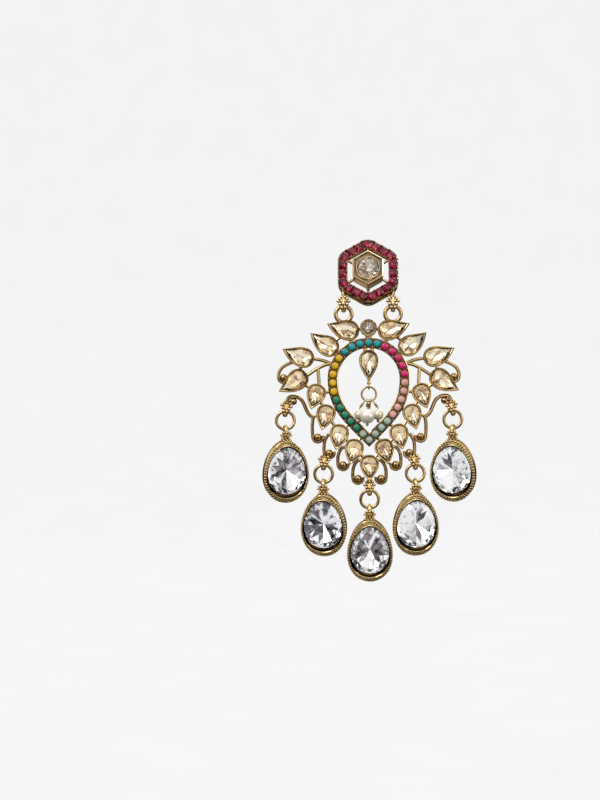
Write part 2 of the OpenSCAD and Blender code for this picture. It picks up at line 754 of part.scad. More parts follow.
// A pin's loop hangs on the ring, its wire leans out to a knee and then runs straight down the pearl
function loop_angle(row) = row[LOOP] * pin_step;
function pin_top(row) =
    let (a = loop_angle(row), r = inner_r + pin_hole - inner_ring_wire / 2 - ring_play / 2)
    [r * sin(a), 0, inner_ring_top - inner_r - r * cos(a)];
function pearl_size(row) = row == PEARLS[0] ? pearl_d : small_pearl_d;
function pearl_at(row) = [row.x * pearl_d, row.y * pearl_d, inner_ring_low - pearl_drop + row.z * pearl_d];
module headpin(i) {
    row = PEARLS[i - 1];
    top = pin_top(row);
    middle = pearl_at(row);
    knee = middle + [0, 0, pearl_size(row) / 2 + pin_d];
    foot = middle - [0, 0, pearl_size(row) / 2 + 0.8 * pin_d];
    color(GOLD) translate(hang) {
        translate(top) rotate([0, -loop_angle(row), 0]) rotate([0, 90, 0]) tube_ring(pin_loop_r, pin_d);
        rod_between(top + pin_loop_r * unit(knee - top), knee, pin_d);
        rod_between(knee, foot, pin_d);
        translate(knee) sphere(d = 1.3 * pin_d, $fn = 24);
        translate(foot) sphere(d = 1.9 * pin_d, $fn = 24);
    }
}
module pearl(i) {
    row = PEARLS[i - 1];
    color(PEARL) translate(hang) translate(pearl_at(row)) difference() {
        sphere(d = pearl_size(row));
        cylinder(d = pin_d + 2 * bore_gap, h = 2 * pearl_size(row), center = true);
    }
}

ear_post();
stud_frame();
stud_stone();
stud_rubies();
medallion_frame();
for (k = [0:5]) tear_stones(magenta_first + k * colour_n, COLOURS[k][1]);
crest_stone();
for (i = [1:8]) leaf_stone(i);
for (i = [1:9]) lower_stone(i);
inner_stone();
for (i = [1:5]) jump_ring(i);
for (i = [1:5]) drop_cup(i);
for (i = [1:5]) crystal(i);
inner_ring();
for (i = [1:4]) headpin(i);
for (i = [1:4]) pearl(i);
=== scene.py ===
"""Looks of the chandbali earring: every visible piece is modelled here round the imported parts.

Sizes are in millimetres and turned into metres when a piece is made. A flat outline is a list of
(x, z) points, the front of the earring looks along -Y and +Z is up. The studio is in metres.
"""

import random
from math import atan2, cos, pi, radians, sin, sqrt, tan

import bmesh
import bpy
import numpy as np
from mathutils import Matrix, Vector


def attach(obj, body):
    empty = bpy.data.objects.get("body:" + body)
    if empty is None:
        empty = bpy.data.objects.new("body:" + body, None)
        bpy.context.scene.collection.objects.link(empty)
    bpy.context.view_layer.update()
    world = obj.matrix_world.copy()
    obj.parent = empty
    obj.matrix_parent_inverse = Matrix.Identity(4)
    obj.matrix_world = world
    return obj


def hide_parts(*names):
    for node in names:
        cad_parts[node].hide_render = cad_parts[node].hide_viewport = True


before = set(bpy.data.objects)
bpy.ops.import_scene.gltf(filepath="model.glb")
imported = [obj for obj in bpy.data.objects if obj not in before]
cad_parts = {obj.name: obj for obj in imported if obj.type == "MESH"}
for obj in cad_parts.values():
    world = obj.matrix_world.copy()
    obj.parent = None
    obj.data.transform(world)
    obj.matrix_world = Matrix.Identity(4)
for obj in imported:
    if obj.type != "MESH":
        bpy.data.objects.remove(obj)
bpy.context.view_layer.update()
random.seed(7)

MM = 0.001

# Sizes of the stud
STUD_W, HALO_W, HALO_T, HALO_ROUND, STUD_D, STUD_TILT = 13.4, 2.15, 1.5, 1.7, 3.0, 12
RAIL_W, RAIL_T, PILLAR_D, PILLAR_N = 1.1, 0.8, 0.8, 12
RUBY_N, RUBY_LONG, RUBY_WIDE = 19, 1.92, 1.96
HEX_W, HEX_WALL, HEX_PROUD, ROUND_D, ROUND_WALL, SPOKE_W = 6.9, 0.35, 2.2, 4.7, 0.3, 0.64
LOOP_GAP, LOOP_DROP, LOOP_HOLE, LOOP_WIRE = 10.9, 7.5, 0.85, 0.85
TOP_RING_D, TOP_WIRE, PLAY = 4.4, 0.88, 0.12
POST_D, POST_L, PAD_D, PAD_T = 0.8, 10.5, 3.0, 0.4
# Sizes of the medallion
FAN_W, FAN_H = 39.0, 38.5
LEAF_L, LEAF_W, LEAF_HOOK = 7.25, 4.55, 0.9
PEAR_L, PEAR_W, INNER_L, CREST_D = 5.85, 4.25, 6.8, 3.8
SETTING_T, RIM, SEAT_D = 2.2, 0.42, 0.85
WIRE_W, WIRE_T, HOOK_R, BALL_R = 0.76, 1.2, 1.1, 0.8
TEAR_W, TEAR_H, TEAR_BAND, TEAR_T, TEAR_N, SMALL_D = 15.9, 21.4, 2.25, 2.0, 30, 1.58
# Sizes of the drops and the pearls
CUP_W, CUP_H, CUP_D, CRYSTAL_W, CRYSTAL_H, CRYSTAL_BACK = 9.9, 13.8, 3.4, 8.4, 10.4, 1.9
DROP_TILT, DROP_REACH, CRYSTAL_SET, CRYSTAL_LIFT, CUP_SLOPE = 8, 8.9, 0.25, 0.3, 0.8
BAIL_HOLE, BAIL_WIRE, DROP_WIRE = 0.8, 0.85, 0.6
JUMP_D, JUMP_WIRE, RING_PLAY = 4.65, 0.7, 0.08
PEARL_D, SMALL_PEARL_D, INNER_RING_D, INNER_RING_WIRE, PIN_D, PEARL_DROP = 3.3, 2.4, 3.64, 0.46, 0.26, 3.3
INNER_HOLE, INNER_LOOP_WIRE, INNER_NECK = 0.42, 0.36, 0.8
EGG_FULLNESS = 0.13
# Length, width and hook of each kind of pear-shaped setting
LEAF_SIZE, PEAR_SIZE, INNER_SIZE = (LEAF_L, LEAF_W, LEAF_HOOK), (PEAR_L, PEAR_W, 0), (INNER_L, PEAR_W, 0)
# Gap round the hidden edge of a stone, and distance from a setting's outside to its stone
STONE_GAP = 0.05
STONE_INSET = RIM + 0.1

# Places, as in the part: across and down as shares of the fan, and the direction of a tip
LEAVES = [(0.114, 0.139, 7), (0.228, 0.23, 27), (0.371, 0.293, 13), (0.403, 0.419, -42)]
PEARS = [(0.296, 0.494, -71), (0.243, 0.612, -76), (0.168, 0.726, -78), (0.084, 0.811, -76), (0, 0.903, -90)]
CREST = (0, 0.125, 0)
INNER = (0, 0.311, -90)
# Top of the teardrop ring's middle line, down
TEAR_TOP = 0.2107
# Start of each scroll, and the ball at its end
SCROLLS = [
    (0.412, 0.315, 0.482, 0.407),
    (0.312, 0.63, 0.291, 0.749),
    (0.227, 0.735, 0.227, 0.841),
    (0.147, 0.808, 0.149, 0.909),
    (0.059, 0.882, 0.065, 0.988),
]
# The S-shaped arm that carries an outer drop, as two curves, and its ball
ARM = [
    [(0.312, 0.638), (0.379, 0.612), (0.345, 0.52), (0.43, 0.515)],
    [(0.43, 0.515), (0.458, 0.515), (0.466, 0.53), (0.466, 0.57)],
]
ARM_BALL = (0.428, 0.544)
# Stems: the ring's stone where one starts, its bend and its end
STEMS = [(5, 0.25, 0.3, 0.36, 0.297), (5, 0.235, 0.298, 0.39, 0.43)]
BAR = [(0.287, 0.353), (0.281, 0.46)]
# Settings that a short wire joins, and settings joined to a stone of the ring
LEAF_JOINS = [(0, 1), (2, 3)]
PEAR_JOINS = [(0, 1), (1, 2), (2, 3), (3, 4)]
LEAF_RING = [(0, 2), (1, 4)]
PEAR_RING = [(0, 8), (1, 10), (2, 12), (3, 14)]
# Bail across and down, lean of the bail and turn of the drop
DROPS = [
    (-0.47, 0.592, 12, 16), (-0.257, 0.9, 7, -6), (0, 1.047, 0, 0),
    (0.257, 0.9, -7, 6), (0.47, 0.592, -12, -16),
]
# Pearl across, front to back and up in front pearl diameters, and its loop's turn on the ring
PEARLS = [(-0.12, -0.6, 0, -10), (0.6, 0, 0.1, 30), (-0.63, 0.1, 0.1, -30), (0, 0.62, 0.05, 10)]
# First stone of each colour on the teardrop ring, clockwise from its top
TEAR_COLOURS = {"teal": 27, "magenta": 2, "blush": 7, "pale_green": 12, "green": 17, "yellow": 22}
COLOUR_RUN = 5

# Fine details: depth of the stones' channel, beads, and the angle over which an edge stays sharp
CHANNEL_DEPTH, SHARP_ANGLE = 0.45, 40
MILGRAIN_R, MILGRAIN_PITCH, RAIL_BEAD_R, PRONG_R, CREST_PRONG_R = 0.15, 0.31, 0.17, 0.24, 0.26
# Bead rows of a drop's rim: way in, depth below the slope, radius, pitch and offset
CUP_BEADS = [(0.12, 0.2, 0.23, 0.62, 0.0), (0.4, 0.5, 0.2, 0.6, 0.5)]
# Radius of a granule and step between rows, as shares of its room
GRANULE_R, GRANULE_STEP = 0.47, 0.84
# Clusters: room for a granule, how many in each row from the top down, height of the top row
STUD_CLUSTER = (0.8, (1, 2, 3, 4, 3, 2), 2.45)
BAIL_CLUSTER = (0.72, (3, 4, 3, 2, 1), 1.5)
DROP_CLUSTER = (0.7, (3, 4, 3, 4, 3), 2.7)
# Where the jump rings and the inner ring open, and how far their ends pass, in degrees
JUMP_STARTS, JUMP_LAP, INNER_START, INNER_LAP = [-30, 200, 165, 20, 35], 24, 10, 30
# How far a joining wire ends before the middle of a stone, and the small wires
JOIN_SHORT, ARM_WIRE = 0.8, 0.836
INNER_NECK_R, INNER_STEM_R, INNER_STEM_GAP, CREST_NECK_R = 0.3, 0.42, 1.5, 0.7
COIL_R, COIL_WIRE, COIL_TURNS = 0.24, 0.17, 4
# Share of dark patina on plain metal, and of painted shade on the bails' necks
WIRE_DARK, TOP_RING_DARK, JUMP_RING_DARK, BALL_DARK = 0.15, 0.25, 0.3, 0.45
NECK_PAINTED_SHADE, COIL_DARK, PIN_FOOT_DARK, RIDGE_DARK, LEAF_RIDGE_DARK = 0.6, 0.4, 0.5, 0.1, 0.25

# Cut of each stone: sides, depth of its back, height of its crown, width of its table
PEAR_CUT, CREST_CUT, STUD_CUT = (8, 0.55, 0.5, 0.62), (10, 0.55, 0.5, 0.55), (12, 0.9, 0.6, 0.42)
RUBY_CUT, CRYSTAL_CUT = (8, 0.5, 0.4, 0.6), (12, CRYSTAL_BACK, 0.8, 0.75)
# Widest line of a stone behind its setting's front, and of a red one before the band's
GIRDLE, RUBY_PROUD = 0.25, 0.02
DOME_D, DOME_RISE = SMALL_D + 0.14, 0.4
# Tones of the large facets behind a stone, and the chance that one is like its neighbour. The dark and pale
# tones are partly painted reflections.
KITE_TONES = (0.0, 0.12, 0.25, 0.45, 0.8, 1.0, 1.0, 1.0)
SAME_TONE = 0.4

# Studio, in metres. The earring stands right of the photograph's middle
PHOTO_PX, PHOTO_H, SHIFT_RIGHT_PX, SHIFT_UP_PX = 800, 176.9 * MM, -69, 10.8
CAMERA_DISTANCE, CAMERA_ROLL, SENSOR = 0.27, 0.4, 24.0
CAMERA_TARGET, LIGHT_TARGET = (0, -0.003, -0.0304), (0, 0, -0.03)
FLOOR_Z, FLOOR_FRONT, WALL_Y, WALL_TOP, BEND_R, BACKDROP_W = -0.14, -2.0, 1.1, 1.6, 0.5, 5.0
# Place, width and height, and power of each light
LIGHTS = {
    "key": ((-0.3, -0.42, 0.3), (0.22, 0.3), 1.1),
    "fill": ((0.45, -0.3, 0.05), (0.12, 0.5), 0.45),
    "top": ((0.05, -0.05, 0.5), (0.4, 0.2), 0.6),
    "back": ((0.1, 0.5, 0.35), (0.5, 0.25), 0.5),
}
# Greys that the metal and the stones reflect, brighter above, and the grey behind the backdrop
SKY = [(0.36, 0.06), (0.45, 0.2), (0.53, 0.65), (0.6, 1.0)]
SKY_LIFT, SKY_GRAIN, SKY_SHOWN = 0.22, 1.9, 0.88


# Points and lines
def unit(v):
    return v / np.linalg.norm(v)


def left_of(v):
    return np.array([-v[1], v[0]])


def toward(degrees):
    """The unit vector in a direction."""
    return np.array([cos(radians(degrees)), sin(radians(degrees))])


def place(across, down, *_):
    """The point of a row of places, whose other values are passed over."""
    return np.array([across * FAN_W, -down * FAN_H])


def bezier(points, t):
    points = [np.asarray(p, float) for p in points]
    while len(points) > 1:
        points = [(1 - t) * a + t * b for a, b in zip(points, points[1:])]
    return points[0]


def curve(points, steps):
    return [bezier(points, i / steps) for i in range(steps + 1)]


def beside(loop, d):
    """A closed line moved sideways by d, to the left of its direction."""
    loop = np.asarray(loop)
    out = []
    for i, at in enumerate(loop):
        a = left_of(unit(at - loop[i - 1]))
        b = left_of(unit(loop[(i + 1) % len(loop)] - at))
        n = unit(a + b)
        out.append(at + n * d / n.dot(a))
    return np.array(out)


def spaced(loop, n, first, lead=0.0):
    """n points spread evenly along a closed line, and the direction of the line at each."""
    loop = np.asarray(loop)
    ahead = np.roll(loop, -1, axis=0)
    steps = np.linalg.norm(ahead - loop, axis=1)
    run = np.concatenate([[0], np.cumsum(steps)])
    spots = []
    for k in range(n):
        s = (lead + (k + first) * run[-1] / n) % run[-1]
        i = min(int(np.searchsorted(run, s, side="right")) - 1, len(loop) - 1)
        t = (s - run[i]) / steps[i]
        spots.append((loop[i] + t * (ahead[i] - loop[i]), unit(ahead[i] - loop[i])))
    return spots


# Outlines
def pear(length, width, hook, inset=0.0, sides=56):
    """A pear shape, made smaller by an inset all round. Its tip is below, and hook bends the tip."""
    length, width, hook = length - 2.6 * inset, width - 2 * inset, hook * (1 - 2 * inset / length)
    t = np.arange(sides) * 2 * pi / sides
    z = -length / 2 * np.cos(t) - length / 6
    wide = width / 4 / ((2 / 3) * sqrt(1 / 3))
    x = wide * np.sin(t) * np.sin(t / 2) + hook * np.maximum(0, -1.5 * z / length) ** 3
    return np.stack([x, z], axis=1)


def egg(width, height, sides=72):
    t = np.arange(sides) * 2 * pi / sides
    x = width / 2 * np.sin(t) * (1 + EGG_FULLNESS * np.cos(t))
    return np.stack([x, -height / 2 * np.cos(t)], axis=1)


def disc(d, sides):
    t = np.arange(sides) * 2 * pi / sides
    return d / 2 * np.stack([np.cos(t), np.sin(t)], axis=1)


def cushion(along, across, sides, power=0.7):
    """A square with round sides."""
    t = (np.arange(sides) + 0.5) * 2 * pi / sides
    x, z = np.cos(t), np.sin(t)
    x, z = np.sign(x) * np.abs(x) ** power, np.sign(z) * np.abs(z) ** power
    return np.stack([along / 2 * x, across / 2 * z], axis=1)


def hexagon(width, r, steps=6):
    """A hexagon with round corners of radius r, two of its sides upright."""
    reach = (width / 2 - r) / cos(radians(30))
    out = []
    for corner in range(90, -270, -60):
        for j in range(steps + 1):
            out.append(reach * toward(corner) + r * toward(corner + 30 - 60 * j / steps))
    return np.array(out)


def tear_middle_line():
    """The middle line of the teardrop ring, clockwise from its top: an arc and a curve."""
    r = TEAR_W / 2
    low = TEAR_H - r
    side = [(r, 0), (r, -0.42 * low), (0.67 * r, -0.61 * low), (0, -low)]
    half = [r * toward(a) for a in range(84, 0, -6)] + [bezier(side, i / 14) for i in range(14)]
    line = [np.array([0, r])] + half + [np.array([0, -low])]
    line += [np.array([-p[0], p[1]]) for p in reversed(half)]
    return np.array(line) + np.array([0, -TEAR_TOP * FAN_H - r])


TEAR_LINE = tear_middle_line()
TEAR_SPOTS = spaced(TEAR_LINE, TEAR_N, 0)
HALO_LINE = hexagon(STUD_W - HALO_W, HALO_ROUND)
HALO_LEAD = HALO_ROUND * pi / 6
RUBY_SPOTS = spaced(HALO_LINE, RUBY_N, 0, HALO_LEAD)


def scroll_line(row):
    """A wire that runs down from its start and curls round its ball."""
    a, ball = place(*row[:2]), place(*row[2:])
    out = ball + np.array([HOOK_R, 0])
    knee = np.array([out[0] + 0.3 * HOOK_R, a[1] - 0.25 * (a[1] - out[1])])
    return curve([a, knee, out], 12) + [ball + HOOK_R * toward(d) for d in range(-15, -206, -15)]


# Frames of the groups of pieces
TILT = radians(STUD_TILT)
STUD_FRAME = Matrix.Rotation(-TILT, 4, "X")
LOOP_Y = -STUD_D + HALO_T - 0.2
HANG = Vector((
    0,
    LOOP_Y * cos(TILT) - LOOP_DROP * sin(TILT),
    -LOOP_DROP * cos(TILT) - LOOP_Y * sin(TILT) - LOOP_HOLE + TOP_WIRE / 2 + PLAY,
))
HANG_FRAME = Matrix.Translation(HANG)
TOP_RING_R = (TOP_RING_D - TOP_WIRE) / 2
INNER_TIP_Z = place(*INNER)[1] - INNER_L * 2 / 3
INNER_LOOP_Z = INNER_TIP_Z - INNER_HOLE - INNER_NECK
JUMP_R = (JUMP_D - JUMP_WIRE) / 2
JUMP_TOP = -BAIL_HOLE + JUMP_WIRE / 2 + RING_PLAY
DROP_HOLE = JUMP_TOP - 2 * JUMP_R + JUMP_WIRE / 2 + RING_PLAY - BAIL_HOLE


def moved(p):
    """A move to a point of the flat outlines."""
    return Matrix.Translation((p[0], 0, p[1]))


def at_place(row):
    """The medallion's frame, moved to the place of a row."""
    return HANG_FRAME @ moved(place(*row))


def mirrored(side):
    """The medallion's frame for its right side, 1, or its left side, -1."""
    return HANG_FRAME @ Matrix.Scale(-1, 4, (1, 0, 0)) if side < 0 else HANG_FRAME


def at_setting(row, side):
    """The frame of a setting: its tip points along the row's direction. Side -1 mirrors it."""
    return mirrored(side) @ moved(place(*row)) @ Matrix.Rotation(-radians(row[2] + 90), 4, "Y")


def drop_frame(row):
    """At the hole of the fixed bail, moved to where the jump ring hangs in the leaning bail."""
    lean = radians(row[2])
    return at_place(row) @ moved((-sin(lean) * BAIL_HOLE, (1 - cos(lean)) * BAIL_HOLE))


def drop_hole_frame(row):
    return drop_frame(row) @ moved((0, DROP_HOLE)) @ Matrix.Rotation(radians(row[3]), 4, "Z")


def cup_frame(row):
    return drop_hole_frame(row) @ moved((0, -DROP_REACH)) @ Matrix.Rotation(radians(DROP_TILT), 4, "X")


# Mesh building
def face_outwards(mesh):
    work = bmesh.new()
    work.from_mesh(mesh)
    bmesh.ops.recalc_face_normals(work, faces=work.faces)
    work.to_mesh(mesh)
    work.free()


def new_object(name, data):
    obj = bpy.data.objects.new(name, data)
    bpy.context.scene.collection.objects.link(obj)
    return obj


def circle(n):
    """The angles of n points spread evenly round a circle."""
    return [2 * pi * k / n for k in range(n)]


def band(a, b, n):
    """Faces between two rings of n points, which start at a and b."""
    return [[a + k, a + (k + 1) % n, b + (k + 1) % n, b + k] for k in range(n)]


class Shape:
    """Collects points and faces in millimetres, then becomes one object that rides on a body.

    Each point has a share of darkening, partly patina and partly painted shade, and each face a slot for its
    material and a tone.
    """

    def __init__(self):
        self.points, self.faces, self.slots, self.dark, self.tones = [], [], [], [], []

    def add(self, points, faces, matrix, dark=None, slots=None, tones=None):
        base = len(self.points)
        self.points += [matrix @ Vector(p) for p in points]
        self.dark += dark or [0.0] * len(points)
        self.faces += [[base + i for i in f] for f in faces]
        self.slots += slots or [0] * len(faces)
        self.tones += tones or [0.5] * len(faces)

    def loft(self, rings, matrix, wrap=False):
        """Skins rings of (outline, y, share of darkening: patina and painted shade), all with as many points,
        and closes its ends.
        """
        n, count = len(rings[0][0]), len(rings)
        points, faces, dark = [], [], []
        for outline, y, share in rings:
            points += [(x, y, z) for x, z in outline]
            dark += [share] * n
        for k in range(count if wrap else count - 1):
            faces += band(k * n, (k + 1) % count * n, n)
        for k, share in () if wrap else ((0, 0.0), (count - 1, rings[-1][2])):
            middle = np.mean(rings[k][0], axis=0)
            points.append((middle[0], rings[k][1], middle[1]))
            dark.append(share)
            c = len(points) - 1
            for i in range(n):
                f = [c, k * n + i, k * n + (i + 1) % n]
                faces.append(f if k else f[::-1])
        self.add(points, faces, matrix, dark)

    def tube(self, line, r, matrix, closed=False, sides=10, deep=1.0, dark=0.0):
        """Sweeps a round wire along a line of 3-D points. deep stretches it front to back."""
        line = [Vector(p) for p in line]
        n = len(line)
        points, faces = [], []
        for i, at in enumerate(line):
            before = line[i - 1] if (closed or i) else at
            after = line[(i + 1) % n] if (closed or i < n - 1) else at
            along = (after - before).normalized()
            across = along.cross(Vector((0, 1, 0)))
            if across.length < 1e-3:
                across = Vector((1, 0, 0))
            across.normalize()
            up = across.cross(along).normalized()
            for a in circle(sides):
                points.append(at + r * (cos(a) * across + sin(a) * up * deep))
        for i in range(n if closed else n - 1):
            faces += band(i * sides, (i + 1) % n * sides, sides)
        if not closed:
            faces.append(list(range(sides))[::-1])
            faces.append([(n - 1) * sides + k for k in range(sides)])
        self.add(points, faces, matrix, [dark] * len(points))

    def ball(self, at, r, matrix, rings=6, sides=9, squash=(1, 1, 1), dark=0.0):
        """A ball whose poles are above and below. squash stretches it along X, Y and Z."""
        points = [Vector((0, 0, r))]
        for j in range(1, rings):
            across, z = r * sin(pi * j / rings), r * cos(pi * j / rings)
            points += [Vector((across * cos(a), across * sin(a), z)) for a in circle(sides)]
        points.append(Vector((0, 0, -r)))
        faces = [[0, 1 + k, 1 + (k + 1) % sides] for k in range(sides)]
        for j in range(rings - 2):
            a, b = 1 + j * sides, 1 + (j + 1) * sides
            faces += [[a + k, b + k, b + (k + 1) % sides, a + (k + 1) % sides] for k in range(sides)]
        last = 1 + (rings - 2) * sides
        faces += [[last + k, len(points) - 1, last + (k + 1) % sides] for k in range(sides)]
        points = [Vector(at) + p * Vector(squash) for p in points]
        self.add(points, faces, matrix, [dark] * len(points))

    def ring(self, at, r, wire, matrix, steps=20, sides=8, wide=1.0):
        """A closed wire ring about the X axis. wide stretches its wire sideways."""
        points, faces = [], []
        for k, a in enumerate(circle(steps)):
            out = Vector((0, cos(a), sin(a)))
            for b in circle(sides):
                wall = cos(b) * out + sin(b) * Vector((wide, 0, 0))
                points.append(Vector(at) + r * out + wire / 2 * wall)
            faces += band(k * sides, (k + 1) % steps * sides, sides)
        self.add(points, faces, matrix)

    def make(self, name, materials, body, replaced, slot, flat=False):
        mesh = bpy.data.meshes.new(name)
        mesh.from_pydata([p * MM for p in self.points], [], self.faces)
        for m in materials:
            mesh.materials.append(m)
        mesh.polygons.foreach_set("material_index", self.slots)
        mesh.polygons.foreach_set("use_smooth", [not flat] * len(self.faces))
        shade = mesh.attributes.new("dark", "FLOAT", "POINT")
        shade.data.foreach_set("value", self.dark)
        tone = mesh.attributes.new("facet", "FLOAT", "FACE")
        tone.data.foreach_set("value", self.tones)
        face_outwards(mesh)
        if not flat:
            mesh.set_sharp_from_angle(angle=radians(SHARP_ANGLE))
        obj = new_object(name, mesh)
        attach(obj, body)
        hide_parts(*replaced)


# Materials
class Nodes:
    """The nodes of a material or a world, with short ways to add and link them."""

    def __init__(self, owner, shader="Principled BSDF"):
        owner.use_nodes = True
        self.owner = owner
        self.tree = owner.node_tree
        self.shader = self.tree.nodes[shader]

    def add(self, kind, values=(), **settings):
        node = self.tree.nodes.new("ShaderNode" + kind)
        for key, value in settings.items():
            setattr(node, key, value)
        for key, value in dict(values).items():
            node.inputs[key].default_value = value
        return node

    def put(self, value, socket):
        """Links the output of a node to a socket, or sets a plain value on it."""
        if isinstance(value, bpy.types.NodeSocket):
            self.tree.links.new(value, socket)
        else:
            socket.default_value = value

    def set(self, **values):
        """Sets or links sockets of the shader by their names."""
        for key, value in values.items():
            self.put(value, self.shader.inputs[key.replace("_", " ")])

    def noise(self, scale, detail=3.0, rough=0.5, space="Object"):
        where = self.add("TexCoord")
        noise = self.add("TexNoise", {"Scale": scale, "Detail": detail, "Roughness": rough})
        self.put(where.outputs[space], noise.inputs["Vector"])
        return noise.outputs["Fac"]

    def ramp(self, value, *stops):
        """Turns a value into colours, from stops of (value, colour)."""
        ramp = self.add("ValToRGB")
        bands = ramp.color_ramp.elements
        for k, (at, colour) in enumerate(stops):
            stop = bands[k] if k < 2 else bands.new(at)
            stop.position = at
            stop.color = (*colour, 1)
        self.put(value, ramp.inputs["Fac"])
        return ramp.outputs["Color"]

    def greys(self, value, *stops):
        """Turns a value into greys, from stops of (value, grey)."""
        return self.ramp(value, *[(at, (grey,) * 3) for at, grey in stops])

    def math(self, operation, *values):
        node = self.add("Math", operation=operation)
        for value, socket in zip(values, node.inputs):
            self.put(value, socket)
        return node.outputs[0]

    def mix(self, a, b, amount, blend="MIX"):
        mix = self.add("Mix", data_type="RGBA", blend_type=blend)
        for value, socket in ((amount, 0), (a, 6), (b, 7)):
            self.put(value, mix.inputs[socket])
        return mix.outputs[2]

    def attribute(self, name):
        return self.add("Attribute", attribute_name=name).outputs["Fac"]

    def bump(self, height, strength, distance):
        bump = self.add("Bump", {"Strength": strength, "Distance": distance})
        self.put(height, bump.inputs["Height"])
        self.set(Normal=bump.outputs["Normal"])


def new_material(name):
    return Nodes(bpy.data.materials.new(name))


def gold(name, light, mid, dark, rough=0.1, recess=0.6, grain=900, spread=(0.3, 0.72)):
    """Antique gold: bright where it is rubbed, dark in the recesses as patina and painted shade, with fine
    wear.
    """
    n = new_material(name)
    tone = n.ramp(n.noise(grain, 4, 0.6), (spread[0], mid), (spread[1], light))
    # Painted shade and patina: ambient occlusion darkens the recesses, and the dark attribute darkens what
    # each piece marks.
    hollow = n.add("AmbientOcclusion", {"Distance": recess * MM}, samples=6)
    deep = n.greys(hollow.outputs["AO"], (0.12, 1.0), (0.6, 0.0))
    patina_and_shade = n.math("MAXIMUM", n.attribute("dark"), deep)
    wear = n.greys(n.noise(2600, 3, 0.6), (0.3, rough), (0.75, rough + 0.16))
    n.set(Metallic=1.0, Specular_Tint=(0.6, 0.45, 0.28, 1), Roughness=wear)
    n.set(Base_Color=n.mix(tone, (*dark, 1), patina_and_shade))
    n.bump(n.noise(1500, 3, 0.6), 0.25, 0.00004)
    return n.owner


def cabochon(name, colour, rim, rough=0.25):
    """A small domed stone: clear in the middle, painted darker towards its rim as shade, glossy."""
    n = new_material(name)
    # Painted shade: the dark share, full on the domes' sides, turns the colour to the rim colour.
    body = n.mix((*colour, 1), (*rim, 1), n.attribute("dark"))
    cloud = n.greys(n.noise(1400, 3, 0.6), (0.3, 0.72), (0.7, 1.12))
    gloss = n.greys(n.noise(3000), (0.3, rough), (0.8, rough + 0.12))
    n.set(Coat_Weight=0.9, Coat_Roughness=0.1, Specular_IOR_Level=0.4, Roughness=gloss)
    n.set(Base_Color=n.mix(body, cloud, 1.0, "MULTIPLY"))
    n.bump(n.noise(2500), 0.1, 0.00003)
    return n.owner


def cut_glass(name, tint, clear):
    """The clear front of a cut stone."""
    n = new_material(name)
    gloss = n.greys(n.noise(900, 2), (0.3, 0.0), (0.8, 0.06))
    n.set(Transmission_Weight=1.0, IOR=1.52, Roughness=gloss)
    n.set(Base_Color=n.ramp(n.noise(500, 2), (0.3, tint), (0.7, clear)))
    return n.owner


def foil(name, rough, *stops):
    """The mirrored facets behind a cut stone, coloured by their tones: partly the foil's own colour, and
    partly painted dark and bright reflections.
    """
    n = new_material(name)
    patch = n.math("MULTIPLY", n.noise(700, 2, 0.6), 0.45)
    tone = n.math("MULTIPLY_ADD", n.attribute("facet"), 0.55, patch)
    gloss = n.greys(n.noise(1800), (0.2, rough), (0.8, rough + 0.1))
    n.set(Metallic=1.0, Base_Color=n.ramp(tone, *stops), Roughness=gloss)
    return n.owner


def pearl_skin(name, light, shade):
    n = new_material(name)
    gloss = n.greys(n.noise(1500), (0.3, 0.12), (0.8, 0.22))
    n.set(Metallic=0.3, Coat_Weight=1.0, Coat_Roughness=0.05, Roughness=gloss)
    n.set(Base_Color=n.ramp(n.noise(600), (0.3, shade), (0.7, light)))
    return n.owner


GOLD = gold("antique_gold", light=(0.88, 0.65, 0.32), mid=(0.68, 0.47, 0.20), dark=(0.12, 0.055, 0.015))
DROP_GOLD = gold(
    "drop_gold", light=(0.94, 0.76, 0.42), mid=(0.62, 0.46, 0.20), dark=(0.13, 0.07, 0.02),
    rough=0.12, recess=0.35, grain=2600, spread=(0.38, 0.62))
STUD_GOLD = gold("stud_gold", light=(0.92, 0.75, 0.46), mid=(0.74, 0.56, 0.31), dark=(0.13, 0.07, 0.035))
CHAMPAGNE = cut_glass("champagne_glass", (0.98, 0.93, 0.82), (0.99, 0.96, 0.88))
CRYSTAL = cut_glass("crystal_glass", (0.97, 0.98, 0.99), (1.0, 1.0, 1.0))
SMOKE = cut_glass("smoke_glass", (0.84, 0.80, 0.74), (0.92, 0.88, 0.82))
RUBY = cut_glass("ruby_glass", (0.70, 0.14, 0.26), (0.76, 0.22, 0.36))
# The foils' colours run from dark to pale by facet tone: partly the foil's own colour, partly painted dark
# reflections and painted glints.
CHAMPAGNE_FOIL = foil(
    "champagne_foil", 0.12, (0.22, (0.36, 0.22, 0.15)), (0.34, (0.70, 0.51, 0.35)),
    (0.47, (0.96, 0.81, 0.60)), (0.7, (1.0, 0.95, 0.81)))
CRYSTAL_FOIL = foil(
    "crystal_foil", 0.06, (0.22, (0.08, 0.085, 0.095)), (0.33, (0.36, 0.30, 0.32)),
    (0.44, (0.84, 0.84, 0.9)), (0.58, (1, 1, 1)))
SMOKE_FOIL = foil(
    "smoke_foil", 0.08, (0.22, (0.17, 0.12, 0.09)), (0.38, (0.48, 0.39, 0.32)),
    (0.54, (0.76, 0.68, 0.60)), (0.74, (1.0, 0.97, 0.92)))
RUBY_FOIL = foil(
    "ruby_foil", 0.12, (0.25, (0.12, 0.02, 0.05)), (0.4, (0.34, 0.07, 0.14)),
    (0.6, (0.60, 0.17, 0.27)), (0.78, (1.0, 0.50, 0.58)))
